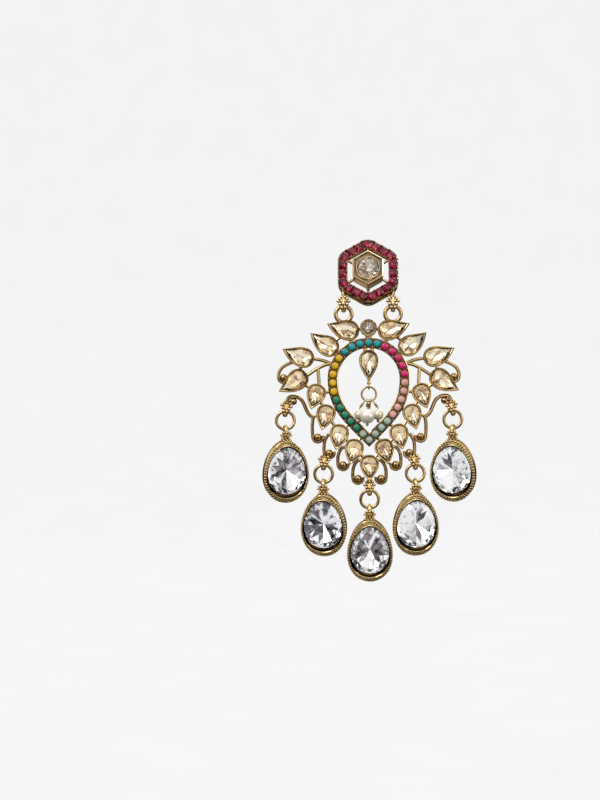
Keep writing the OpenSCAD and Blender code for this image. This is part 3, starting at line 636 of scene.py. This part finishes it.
# Each colour's own tone, and the darker rim tone painted on the domes' sides as shade.
STONES = {name: cabochon(name, colour, rim) for name, colour, rim in (
    ("teal", (0.0, 0.43, 0.46), (0.0, 0.12, 0.13)),
    ("magenta", (0.88, 0.01, 0.17), (0.32, 0.0, 0.07)),
    ("blush", (0.92, 0.50, 0.43), (0.42, 0.18, 0.14)),
    ("pale_green", (0.52, 0.62, 0.50), (0.16, 0.22, 0.15)),
    ("green", (0.0, 0.32, 0.18), (0.0, 0.07, 0.04)),
    ("yellow", (0.95, 0.58, 0.0), (0.42, 0.20, 0.0)),
)}
PEARL_SKIN = pearl_skin("pearl", (1.0, 0.96, 0.86), (0.94, 0.88, 0.74))
# The pearls behind the front one: a darker copy of the skin, painted shade.
PAINTED_SHADE_PEARL_SKIN = pearl_skin("painted_shade_pearl", (0.90, 0.83, 0.62), (0.82, 0.74, 0.52))


# Metal details
def granule_rows(outer, size, counts, top):
    """Rows of granules on the front of a loop of radius outer: how many, front to back, and height."""
    rows = []
    for k, count in enumerate(counts):
        z = top - k * size * GRANULE_STEP
        y = -sqrt(max(outer * outer - z * z, (0.2 * outer) ** 2))
        rows.append((count, y, z))
    return rows


def granules(shape, rows, size, matrix):
    for count, y, z in rows:
        for k in range(count):
            shape.ball(((k - (count - 1) / 2) * size, y, z), size * GRANULE_R, matrix, 8, 12)


def granulated_bail(shape, hole, wire, cluster, reach, matrix):
    """A flattened wire loop seen edge-on, its neck, and a cluster of granules on a dark core in front: the
    core and the darker neck are painted shade.
    """
    size, counts, top = cluster
    shape.ring((0, 0, 0), hole + wire / 2, wire, matrix, 28, 12, 1.3)
    # The neck is darkened: painted shade behind the granules.
    neck = [(0, 0, hole + wire * 0.4), (0, 0, (hole + reach) / 2 + 0.2), (0, 0, reach)]
    shape.tube(neck, wire * 0.55, matrix, dark=NECK_PAINTED_SHADE)
    rows = granule_rows(hole + wire * 0.8, size, counts, top)
    granules(shape, rows, size, matrix)
    # A dark flattened ball behind each row: painted shade in the gaps between the granules.
    for count, y, z in rows:
        squash = (max(count - 1, 0.8) * size / 2, size * 0.35, size * 0.5)
        shape.ball((0, y + size * 0.3, z), 1.0, matrix, 6, 10, squash, 1.0)


def beads(shape, outline, y, r, pitch, matrix, first=0.0):
    """Small balls along a closed outline."""
    total = np.linalg.norm(np.roll(outline, -1, axis=0) - outline, axis=1).sum()
    for p, _ in spaced(outline, round(total / pitch), first):
        shape.ball((p[0], y, p[1]), r, matrix, 5, 8)


def channel(shape, line, half_profile, matrix):
    """A closed band along a line, alike on both sides of it.

    Half of its profile runs from its back round one side to its front: distance, y and share of darkening
    (patina and painted shade).
    """
    rows = half_profile + [(-d, y, share) for d, y, share in reversed(half_profile)]
    shape.loft([(beside(line, d), y, share) for d, y, share in rows], matrix, wrap=True)


def beads_beside(shape, spots, off, y, r, matrix, squash=(1, 1, 1)):
    """A small ball on both sides of a line at each of the spots."""
    for p, along in spots:
        for d in (-off, off):
            q = p + left_of(along) * d
            shape.ball((q[0], y, q[1]), r, matrix, 6, 8, squash)


def bezel(shape, outline_at, matrix, wall=RIM, ridge=RIDGE_DARK):
    """A closed-back collet with a round ridge. outline_at(inset) gives its outline."""
    front, back = -SETTING_T / 2, SETTING_T / 2
    # Darkened: the outside wall, the inner slope and the seat under the stone, partly patina in the hollows
    # and partly painted shade; the round ridge stays bright.
    rows = [
        (0.3, back, 0.6), (0.0, back - 0.25, 0.6), (0.0, front + 0.6, 0.7), (0.0, front + 0.3, 0.4 + ridge),
        (0.05, front + 0.1, 0.2 + ridge), (0.15, front, ridge), (0.29, front + 0.01, ridge),
        (0.39, front + 0.12, 0.15 + ridge), (wall + 0.02, front + 0.35, 0.6),
        (wall + 0.06, front + SEAT_D, 0.9),
    ]
    shape.loft([(outline_at(i), y, share) for i, y, share in rows], matrix)


# Medallion
SIDES = (1, -1)


def flat_wire(shape, line, matrix, wire=WIRE_W, **settings):
    """A wire along a flat line."""
    shape.tube([(p[0], 0, p[1]) for p in line], wire / 2, matrix, **settings)


def end_ball(shape, at, matrix):
    shape.ball((at[0], 0, at[1]), BALL_R, matrix, 10, 14, dark=BALL_DARK)


def join(shape, a, b, matrix, short_a=JOIN_SHORT, short_b=JOIN_SHORT):
    """A straight wire. It ends short of the middle of a stone, clear of the stone's point."""
    along = unit(b - a)
    line = [a + short_a * along, (a + b) / 2, b - short_b * along]
    flat_wire(shape, line, matrix, sides=8, dark=WIRE_DARK)


def medallion_wires(shape):
    deep = WIRE_T / WIRE_W
    leaves, pears, scrolls = ([place(*row) for row in rows] for rows in (LEAVES, PEARS, SCROLLS))
    for m in (mirrored(side) for side in SIDES):
        for row in SCROLLS:
            flat_wire(shape, scroll_line(row), m, deep=deep, dark=WIRE_DARK)
            end_ball(shape, place(*row[2:]), m)
        arm = curve([place(*p) for p in ARM[0]], 16) + curve([place(*p) for p in ARM[1]], 8)[1:]
        flat_wire(shape, arm, m, ARM_WIRE, deep=deep, dark=WIRE_DARK)
        end_ball(shape, place(*ARM_BALL), m)
        for k, bx, bz, ex, ez in STEMS:
            flat_wire(shape, curve([TEAR_SPOTS[k][0], place(bx, bz), place(ex, ez)], 12), m)
        join(shape, place(*BAR[0]), place(*BAR[1]), m, 0, 0)
        for k in range(1, 5):
            join(shape, scrolls[k], pears[k], m, short_a=0)
        for points, joins in ((leaves, LEAF_JOINS), (pears, PEAR_JOINS)):
            for a, b in joins:
                join(shape, points[a], points[b], m)
        for points, joins in ((leaves, LEAF_RING), (pears, PEAR_RING)):
            for a, k in joins:
                join(shape, points[a], TEAR_SPOTS[k][0], m, short_b=0)
        join(shape, leaves[0], place(*CREST), m)
        join(shape, leaves[3], pears[0], m)


def medallion_settings(shape):
    front = -SETTING_T / 2
    for side in SIDES:
        for row in LEAVES:
            m = at_setting(row, side)
            bezel(shape, lambda inset: pear(*LEAF_SIZE, inset), m, STONE_INSET, LEAF_RIDGE_DARK)
        for row in PEARS[:4] if side < 0 else PEARS:
            m = at_setting(row, side)
            bezel(shape, lambda inset: pear(*PEAR_SIZE, inset), m)
            beads(shape, pear(*PEAR_SIZE, 0.12), front + 0.07, MILGRAIN_R, MILGRAIN_PITCH, m)
    bezel(shape, lambda inset: pear(*INNER_SIZE, inset), at_setting(INNER, 1))
    bezel(shape, lambda inset: disc(CREST_D - 2 * inset, 40), at_place(CREST))
    r = CREST_D / 2 - 0.3
    for x, z in (r * toward(45 + 90 * k) for k in range(4)):
        shape.ball((x, front, z), CREST_PRONG_R, at_place(CREST), 6, 8)


def teardrop_ring(shape):
    """A channel that carries the small stones, with two beaded rails."""
    front, back, half = -TEAR_T / 2, TEAR_T / 2, TEAR_BAND / 2
    # The rails' walls and the channel's floor are darkened: partly patina in the hollows and partly painted
    # shade.
    channel(shape, TEAR_LINE, [
        (half - 0.2, back, 0.6), (half, back - 0.2, 0.7), (half, front + 0.2, 0.4),
        (half - 0.05, front + 0.05, 0.0), (half - 0.14, front, 0.0), (half - 0.2, front + 0.1, 0.5),
        (half - 0.22, front + CHANNEL_DEPTH, 0.9),
    ], HANG_FRAME)
    between = spaced(TEAR_LINE, TEAR_N, 0.5)
    beads_beside(shape, between, half - 0.25, front - 0.05, RAIL_BEAD_R, HANG_FRAME)


def bail_reach(row):
    """Length of a fixed bail's neck: the middle one runs up to the tip of the lowest setting."""
    to_tip = (row[1] - PEARS[4][1]) * FAN_H - PEAR_L * 2 / 3
    return 0.5 + (to_tip if row[0] == 0 else BAIL_HOLE + BAIL_WIRE)


def medallion_rings(shape):
    for side in SIDES:
        middle = Vector((side * LOOP_GAP / 2, 0, -TOP_RING_R))
        line = [middle + TOP_RING_R * Vector((cos(a), 0, sin(a))) for a in circle(44)]
        shape.tube(line, TOP_WIRE / 2, HANG_FRAME, True, 14, dark=TOP_RING_DARK)
    for row in DROPS:
        m = at_place(row) @ Matrix.Rotation(radians(row[2]), 4, "Y")
        granulated_bail(shape, BAIL_HOLE, BAIL_WIRE, BAIL_CLUSTER, bail_reach(row), m)


def inner_pendant(shape):
    """The necks and stems that hold the inner setting, and the loop below it."""
    loop_r = INNER_HOLE + INNER_LOOP_WIRE / 2
    shape.ring((0, 0, INNER_LOOP_Z), loop_r, INNER_LOOP_WIRE, HANG_FRAME)
    top = INNER_LOOP_Z + loop_r
    neck = [(0, 0, top), (0, 0, INNER_TIP_Z), (0, 0, INNER_TIP_Z + 1.0)]
    shape.tube(neck, INNER_NECK_R, HANG_FRAME, sides=8)
    granules(shape, [(2, -0.1, top + 0.1), (1, -0.3, top - 0.3)], 0.5, HANG_FRAME)
    ring_top = TEAR_SPOTS[0][0][1]
    for x in (-INNER_STEM_GAP / 2, INNER_STEM_GAP / 2):
        shape.tube([(x, 0, ring_top), (x, 0, place(*INNER)[1])], INNER_STEM_R, HANG_FRAME, sides=8)
    crest_neck = [(0, 0, place(*CREST)[1] - CREST_D / 2 + 0.4), (0, 0, ring_top)]
    shape.tube(crest_neck, CREST_NECK_R, HANG_FRAME, deep=0.8)


def build_medallion():
    shape = Shape()
    medallion_wires(shape)
    medallion_settings(shape)
    teardrop_ring(shape)
    medallion_rings(shape)
    inner_pendant(shape)
    shape.make("medallion_metal", [GOLD], "medallion", ["medallion_frame"], "antique_gold")


# Stones
def cut_gem(shape, outline_at, cut, girdle, matrix):
    """A cut stone. outline_at(scale, count, turn) gives its outline.

    Its front is clear glass. Its back is mirrored foil: kites from the point, and smaller facets
    outside them.
    """
    n, deep, crown, table = cut
    arm, tip = 0.5, 0.8
    low = girdle + 0.1
    levels = [
        (outline_at(arm, n, 0.0), low + deep * (1 - arm)),
        (outline_at(tip, n, 0.5), low + deep * (1 - tip / cos(pi / n))),
        (outline_at(1.0, 2 * n, 0.0), low),
        (outline_at(1.0, 2 * n, 0.0), girdle),
        (outline_at((1 + table) / 2, n, 0.5), girdle - crown * 0.62),
        (outline_at(table, n, 0.0), girdle - crown),
    ]
    points = [(x, y, z) for outline, y in levels for x, z in outline] + [(0, low + deep, 0)]
    arms, tips, under, rim, star, top, point = 0, n, 2 * n, 4 * n, 6 * n, 7 * n, 8 * n
    back, tones, clear = [], [], []
    kite = 0.5
    for i in range(n):
        j = (i + 1) % n
        a, b, c = 2 * i, 2 * i + 1, (2 * i + 2) % (2 * n)
        # Each kite gets a tone at random: painted dark and bright reflections on the foil.
        if random.random() > SAME_TONE:
            kite = random.choice(KITE_TONES)
        back += [
            [point, arms + i, tips + i, arms + j], [arms + j, tips + i, under + c, tips + j],
            [tips + i, under + b, under + c], [tips + i, under + a, under + b],
        ]
        tones += [kite] + [random.uniform(0.4, 1.0) for _ in range(3)]
        clear += [
            [under + a, under + b, rim + b, rim + a], [under + b, under + c, rim + c, rim + b],
            [star + i, rim + a, rim + b], [star + i, rim + b, rim + c],
            [top + j, star + i, rim + c, star + j], [top + i, star + i, top + j],
        ]
    clear.append([top + i for i in range(n)])
    slots = [1] * len(back) + [0] * len(clear)
    shape.add(points, back + clear, matrix, None, slots, tones + [0.5] * len(clear))


def scaled_outline(make, fine=240):
    """Turns an outline function into one of scale, number of corners and turn in corners."""
    dense = make(fine)

    def at(scale, count, turn):
        picks = [int(round((k + turn) * fine / count)) % fine for k in range(count)]
        return dense[picks] * scale

    return at


def make_gem(name, outline, cut, girdle, looks, matrix, body="medallion"):
    """One cut stone in place of the part's own. looks are its glass, its foil and a slot name, which is not
    used.
    """
    shape = Shape()
    cut_gem(shape, scaled_outline(outline), cut, girdle, matrix)
    shape.make("cut_" + name, looks[:2], body, [name], looks[2], flat=True)


def build_pear_stones():
    stones = [(f"leaf_stone_{k + 1}", LEAVES[k % 4], LEAF_SIZE, -1 if k < 4 else 1) for k in range(8)]
    stones += [(f"pear_stone_{k + 1}", PEARS[k % 5], PEAR_SIZE, -1 if k < 4 else 1) for k in range(9)]
    for name, row, size, side in stones + [("inner_stone", INNER, INNER_SIZE, 1)]:
        make_gem(
            name, lambda n: pear(*size, STONE_INSET, n), PEAR_CUT, -SETTING_T / 2 + GIRDLE,
            (CHAMPAGNE, CHAMPAGNE_FOIL, "champagne"), at_setting(row, side))


def build_round_stones():
    make_gem(
        "crest_stone", lambda n: disc(CREST_D - 2 * STONE_INSET, n), CREST_CUT,
        -SETTING_T / 2 + GIRDLE, (SMOKE, SMOKE_FOIL, "smoke"), at_place(CREST))
    make_gem(
        "stud_stone", lambda n: disc(ROUND_D, n), STUD_CUT,
        -STUD_D - HEX_PROUD + GIRDLE, (SMOKE, SMOKE_FOIL, "champagne"), STUD_FRAME, "stud")


def dome(shape, d, front, rise, matrix, sides=18):
    """A small round stone with a soft flat top and a rim darkened as painted shade."""
    # Each ring: its size, its height and its share of painted shade, from the back to the top.
    rows = [
        (1.0, 0.5, 1.0), (1.0, 0.1, 1.0), (0.95, -0.35, 1.0),
        (0.82, -0.68, 0.6), (0.6, -0.88, 0.2), (0.3, -1.0, 0.0),
    ]
    rings = [(cushion(d * k, d * k, sides, 0.85), front + rise * y, share) for k, y, share in rows]
    shape.loft(rings, matrix)


def at_spot(p, along):
    """The frame of a stone on a band, turned with the band."""
    return moved(p) @ Matrix.Rotation(-atan2(along[1], along[0]), 4, "Y")


def build_small_stones():
    for colour, first in TEAR_COLOURS.items():
        shape = Shape()
        for k in range(first, first + COLOUR_RUN):
            m = HANG_FRAME @ at_spot(*TEAR_SPOTS[k % TEAR_N])
            dome(shape, DOME_D, -TEAR_T / 2, DOME_RISE, m)
        shape.make(f"{colour}_domes", [STONES[colour]], "medallion", [f"{colour}_stones"], colour)
    shape = Shape()
    outline = scaled_outline(lambda n: cushion(RUBY_LONG, RUBY_WIDE, n))
    for spot in RUBY_SPOTS:
        cut_gem(shape, outline, RUBY_CUT, -STUD_D - RUBY_PROUD, STUD_FRAME @ at_spot(*spot))
    shape.make("ruby_cushions", [RUBY, RUBY_FOIL], "stud", ["stud_rubies"], "ruby", flat=True)


# Stud
def build_stud():
    shape = Shape()
    front, back, half = -STUD_D, -STUD_D + HALO_T, HALO_W / 2
    # The band's walls and the channel's floor are darkened: partly patina and partly painted shade.
    channel(shape, HALO_LINE, [
        (half - 0.15, back, 0.6), (half, back - 0.15, 0.6), (half, front + 0.15, 0.5),
        (half - 0.1, front, 0.2), (half - 0.22, front + 0.05, 0.3), (half - 0.26, front + CHANNEL_DEPTH, 0.9),
    ], STUD_FRAME)
    between = spaced(HALO_LINE, RUBY_N, 0.5, HALO_LEAD)
    beads_beside(shape, between, half - 0.14, front - 0.12, PRONG_R, STUD_FRAME, (0.8, 1.6, 0.8))
    stud_rail(shape, back)
    stud_cup(shape)
    reach = LOOP_DROP - STUD_W / 2 * tan(radians(30)) + 0.3
    for side in SIDES:
        m = STUD_FRAME @ Matrix.Translation((side * LOOP_GAP / 2, LOOP_Y, -LOOP_DROP))
        granulated_bail(shape, LOOP_HOLE, LOOP_WIRE, STUD_CLUSTER, reach, m)
    shape.make("stud_metal", [STUD_GOLD], "stud", ["stud_frame"], "antique_gold")


def stud_rail(shape, band_back):
    """The rail at the back, and the pillars between it and the band."""
    half, out, soft = RAIL_W / 2, (HALO_W - RAIL_W) / 2, 0.12
    line = hexagon(STUD_W - HALO_W + 2 * out, HALO_ROUND + out)
    channel(shape, line, [
        (half - soft, 0, 0.0), (half, -soft, 0.0), (half, -RAIL_T + soft, 0.0), (half - soft, -RAIL_T, 0.0),
    ], STUD_FRAME)
    for p, _ in spaced(line, PILLAR_N, 0, (HALO_ROUND + out) * pi / 6):
        shape.tube([(p[0], -RAIL_T / 2, p[1]), (p[0], band_back - 0.3, p[1])], PILLAR_D / 2, STUD_FRAME)


def stud_cup(shape):
    """The hexagonal cup with a round collar for its stone, and the spokes that carry it."""
    front = -STUD_D - HEX_PROUD
    # The walls behind the front and the collar's inside under the stone are darkened: partly patina and
    # partly painted shade.
    wall = [
        (0.5, 0.0, 0.7), (0.3, -0.4, 0.6), (0.1, front + 1.0, 0.5), (0.0, front + 0.3, 0.2),
        (0.05, front + 0.05, 0.0), (0.14, front, 0.0), (0.27, front + 0.04, 0.0),
        (HEX_WALL, front + 0.2, 0.3), (HEX_WALL + 0.02, front + 0.5, 0.8),
    ]
    rings = []
    for inset, y, share in wall:
        outline = hexagon(HEX_W - 2 * inset, max(0.55 - 0.5 * inset, 0.2))
        rings.append((np.array([p for p, _ in spaced(outline, 120, 0)]), y, share))
    around = np.array([unit(p) for p in rings[0][0]])
    r = ROUND_D / 2 + STONE_GAP
    outer = r + ROUND_WALL
    collar = [
        (outer + 0.1, front + 0.5, 0.8), (outer, front + 0.4, 0.5), (outer, front + 0.14, 0.0),
        (outer - 0.1, front, 0.0), (r + 0.07, front, 0.0), (r, front + 0.14, 0.4), (r, front + 1.5, 1.0),
    ]
    shape.loft(rings + [(around * d, y, share) for d, y, share in collar], STUD_FRAME)
    start, end, y = HEX_W / 2, (STUD_W - HALO_W) / 2 - 0.4, -STUD_D + HALO_T / 2
    for k in range(6):
        turn = Matrix.Rotation(radians(30 + 60 * k), 4, "Y")
        shape.tube([(start, y, 0), (end, y, 0)], SPOKE_W / 2, STUD_FRAME @ turn, deep=1.3)


def build_post():
    """A solder pad and a post with a groove near its end."""
    shape = Shape()
    pad_back = PAD_T + STONE_GAP
    pad = [(PAD_D - 0.3, pad_back), (PAD_D, 0.35), (PAD_D, 0.15), (PAD_D - 0.2, STONE_GAP)]
    shape.loft([(disc(d, 40), y, 0.0) for d, y in pad], STUD_FRAME)
    end = pad_back + POST_L
    post = [
        (0.4, end + 0.38), (0.8, end + 0.24), (1, end), (1, end - 1.6), (0.8, end - 1.75),
        (0.8, end - 2.05), (1, end - 2.2), (1, 0.3),
    ]
    shape.loft([(disc(POST_D * k, 20), y, 0.0) for k, y in post], STUD_FRAME)
    shape.make("post_metal", [STUD_GOLD], "stud", ["ear_post"], "antique_gold")


# Drops
def split_ring(shape, r, wire, start, lap, matrix, steps=48):
    """A jump ring whose two ends pass each other. start is where it opens, and lap how far they pass."""
    line = []
    for k in range(steps + 1):
        t = k / steps
        a = radians(start + (360 + lap) * t)
        y = (t - 0.5) * wire * 0.9 * abs(2 * t - 1) ** 3
        line.append((r * cos(a), y, r * sin(a)))
    shape.tube(line, wire / 2, matrix, sides=12, dark=JUMP_RING_DARK)


def build_jump_rings():
    for k, (row, start) in enumerate(zip(DROPS, JUMP_STARTS), 1):
        shape = Shape()
        m = drop_frame(row) @ moved((0, JUMP_TOP - JUMP_R))
        split_ring(shape, JUMP_R, JUMP_WIRE, start, JUMP_LAP, m)
        shape.make(f"jump_wire_{k}", [GOLD], "medallion", [f"jump_ring_{k}"], "antique_gold")


def rim_outline(share, lift=0.0):
    """An outline of a drop's cup between its outside, 0, and the seat of its crystal, 1."""
    wide, high = CUP_W - CRYSTAL_W - 2 * STONE_GAP, CUP_H - CRYSTAL_H - 2 * STONE_GAP
    return egg(CUP_W - wide * share, CUP_H - high * share) + np.array([0, lift])


def build_cup(k, row):
    shape = Shape()
    m = cup_frame(row)
    front, back = -CUP_D / 2, CUP_D / 2
    slope = front + CUP_SLOPE
    # The sloping front between the beads is darkened, partly patina and partly painted shade; the inner wall
    # down to the crystal is painted dark as the shadow in the gap round the crystal.
    rows = [
        (0.5, 0, back, 0.3), (0.1, 0, back - 0.12, 0.1), (0.0, 0, back - 0.45, 0.0), (0.0, 0, slope, 0.1),
        (0.08, 0, slope - 0.1, 0.75), (0.52, 0, front + 0.25, 0.75), (0.57, 0, front + 0.06, 0.3),
        (0.63, 0, front, 0.1), (0.7, 0.04, front + 0.1, 0.9), (0.76, 0.08, front + 1.1, 1.0),
        (0.97, CRYSTAL_LIFT, front + 1.25, 1.0), (1.0, CRYSTAL_LIFT, front + 2.35, 1.0),
    ]
    shape.loft([(rim_outline(inset, lift), y, share) for inset, lift, y, share in rows], m)
    for share, below, r, pitch, first in CUP_BEADS:
        beads(shape, rim_outline(share), slope - below, r, pitch, m, first)
    top = drop_hole_frame(row) @ Matrix.Scale(-1, 4, (0, 0, 1))
    granulated_bail(shape, BAIL_HOLE, DROP_WIRE, DROP_CLUSTER, DROP_REACH - CUP_H / 2 + 0.5, top)
    shape.make(f"cup_metal_{k}", [DROP_GOLD], "medallion", [f"drop_cup_{k}"], "drop_gold")


def build_drops():
    for k, row in enumerate(DROPS, 1):
        build_cup(k, row)
        make_gem(
            f"crystal_{k}", lambda n: egg(CRYSTAL_W, CRYSTAL_H, n), CRYSTAL_CUT, -CUP_D / 2 + CRYSTAL_SET,
            (CRYSTAL, CRYSTAL_FOIL, "crystal"), cup_frame(row) @ moved((0, CRYSTAL_LIFT)))


# Pearls
def build_pearls():
    ring_r = (INNER_RING_D - INNER_RING_WIRE) / 2
    ring_top = INNER_LOOP_Z - INNER_HOLE + INNER_RING_WIRE / 2 + RING_PLAY
    shape = Shape()
    m = HANG_FRAME @ moved((0, ring_top - ring_r))
    split_ring(shape, ring_r, INNER_RING_WIRE, INNER_START, INNER_LAP, m)
    shape.make("inner_wire", [GOLD], "medallion", ["inner_ring"], "antique_gold")
    low = ring_top - 2 * ring_r - PEARL_DROP
    r = ring_r + RING_PLAY / 2
    for k, (x, y, z, turn) in enumerate(PEARLS, 1):
        angle = radians(turn)
        top = Vector((r * sin(angle), 0, ring_top - ring_r - r * cos(angle)))
        # The pearls behind take the darker skin, which is painted shade.
        size, skin = (PEARL_D, PEARL_SKIN) if k == 1 else (SMALL_PEARL_D, PAINTED_SHADE_PEARL_SKIN)
        middle = Vector((x * PEARL_D, y * PEARL_D, low + z * PEARL_D))
        build_headpin(k, top, middle, size, angle)
        pearl = Shape()
        pearl.ball(middle, size / 2, HANG_FRAME, 24, 32)
        pearl.make(f"pearl_bead_{k}", [skin], "medallion", [f"pearl_{k}"], "pearl")


def coil(shape, a, b):
    """Wire wound round the line from a to b."""
    along = (b - a).normalized()
    across = along.cross(Vector((0, 1, 0))).normalized()
    up = across.cross(along)
    steps = COIL_TURNS * 14
    line = []
    for i in range(steps + 1):
        t = 2 * pi * COIL_TURNS * i / steps
        line.append(a.lerp(b, i / steps) + COIL_R * (cos(t) * across + sin(t) * up))
    shape.tube(line, COIL_WIRE / 2, HANG_FRAME, sides=6, dark=COIL_DARK)


def build_headpin(k, top, middle, size, angle):
    """A loop on the inner ring, a pin through the pearl, wire wound round it and its ball foot."""
    shape = Shape()
    loop_r = INNER_RING_WIRE / 2 + RING_PLAY + PIN_D / 2
    m = HANG_FRAME @ Matrix.Translation(top) @ Matrix.Rotation(-angle, 4, "Y")
    shape.ring((0, 0, 0), loop_r, PIN_D, m)
    knee = middle + Vector((0, 0, size / 2 + PIN_D))
    foot = middle - Vector((0, 0, size / 2 + 0.8 * PIN_D))
    start = top + loop_r * (knee - top).normalized()
    shape.tube([start, knee, middle], PIN_D / 2, HANG_FRAME, sides=8)
    shape.tube([middle, foot], PIN_D / 2, HANG_FRAME, sides=8)
    shape.ball(knee, PIN_D * 0.65, HANG_FRAME)
    coil(shape, start.lerp(knee, 0.25), start.lerp(knee, 0.85))
    shape.ball(foot, PIN_D * 1.25, HANG_FRAME, 8, 10, dark=PIN_FOOT_DARK)
    shape.make(f"pin_wire_{k}", [GOLD], "medallion", [f"headpin_{k}"], "antique_gold")


# Studio
def build_camera():
    """Sees the earring as the photograph does, from straight in front."""
    data = bpy.data.cameras.new("camera")
    data.sensor_fit = "VERTICAL"
    data.sensor_height = SENSOR
    data.lens = SENSOR * CAMERA_DISTANCE / PHOTO_H
    data.shift_x = SHIFT_RIGHT_PX / PHOTO_PX
    data.shift_y = SHIFT_UP_PX / PHOTO_PX
    data.clip_start = 0.01
    camera = new_object("camera", data)
    camera.location = Vector(CAMERA_TARGET) + Vector((0, -CAMERA_DISTANCE, 0))
    camera.rotation_euler = (radians(90), radians(CAMERA_ROLL), 0)
    bpy.context.scene.camera = camera


def pale_paper():
    """Pale paper that glows a little, so that the wall far behind keeps the floor's tone."""
    n = new_material("pale_paper")
    n.set(Roughness=0.9, Specular_IOR_Level=0.1, Emission_Strength=1.0)
    n.set(Base_Color=n.greys(n.noise(30, 2), (0.3, 0.02), (0.7, 0.03)))
    n.set(Emission_Color=n.greys(n.noise(30, 2), (0.3, 0.875), (0.7, 0.885)))
    return n.owner


def build_backdrop():
    """One curved sheet: the floor below the earring and the wall far behind it."""
    side = [(FLOOR_FRONT, FLOOR_Z)]
    for across, up in (BEND_R * toward(90 * k / 16 - 90) for k in range(17)):
        side.append((WALL_Y - BEND_R + across, FLOOR_Z + BEND_R + up))
    side.append((WALL_Y, WALL_TOP))
    points = [(x, y, z) for y, z in side for x in (-BACKDROP_W / 2, BACKDROP_W / 2)]
    faces = [[2 * i, 2 * i + 1, 2 * i + 3, 2 * i + 2] for i in range(len(side) - 1)]
    mesh = bpy.data.meshes.new("backdrop")
    mesh.from_pydata(points, [], faces)
    mesh.shade_smooth()
    mesh.materials.append(pale_paper())
    obj = new_object("backdrop", mesh)
    obj.visible_glossy = obj.visible_diffuse = False


def build_lights():
    for name, (at, size, power) in LIGHTS.items():
        data = bpy.data.lights.new(name, "AREA")
        data.shape = "RECTANGLE"
        data.size, data.size_y = size
        data.energy = power
        obj = new_object(name, data)
        obj.location = at
        obj.rotation_euler = (Vector(LIGHT_TARGET) - Vector(at)).to_track_quat("-Z", "Y").to_euler()


def build_world():
    """Soft bright and dark patches, brighter above, which the polished metal and the stones reflect."""
    world = bpy.data.worlds.new("studio")
    n = Nodes(world, "Background")
    bpy.context.scene.world = world
    split = n.add("SeparateXYZ")
    where = n.add("TexCoord")
    n.put(where.outputs["Generated"], split.inputs[0])
    patches = n.noise(SKY_GRAIN, 1.0, space="Generated")
    n.set(Color=n.greys(n.math("MULTIPLY_ADD", split.outputs["Z"], SKY_LIFT, patches), *SKY))
    shown = n.add("Background", {"Color": (SKY_SHOWN, SKY_SHOWN, SKY_SHOWN, 1)})
    choose = n.add("MixShader")
    n.put(n.add("LightPath").outputs["Is Camera Ray"], choose.inputs["Fac"])
    n.put(n.shader.outputs[0], choose.inputs[1])
    n.put(shown.outputs[0], choose.inputs[2])
    n.put(choose.outputs[0], n.tree.nodes["World Output"].inputs["Surface"])


bpy.context.scene.view_settings.view_transform = "Standard"
build_camera()
build_backdrop()
build_lights()
build_world()
build_stud()
build_post()
build_medallion()
build_pear_stones()
build_round_stones()
build_small_stones()
build_jump_rings()
build_drops()
build_pearls()
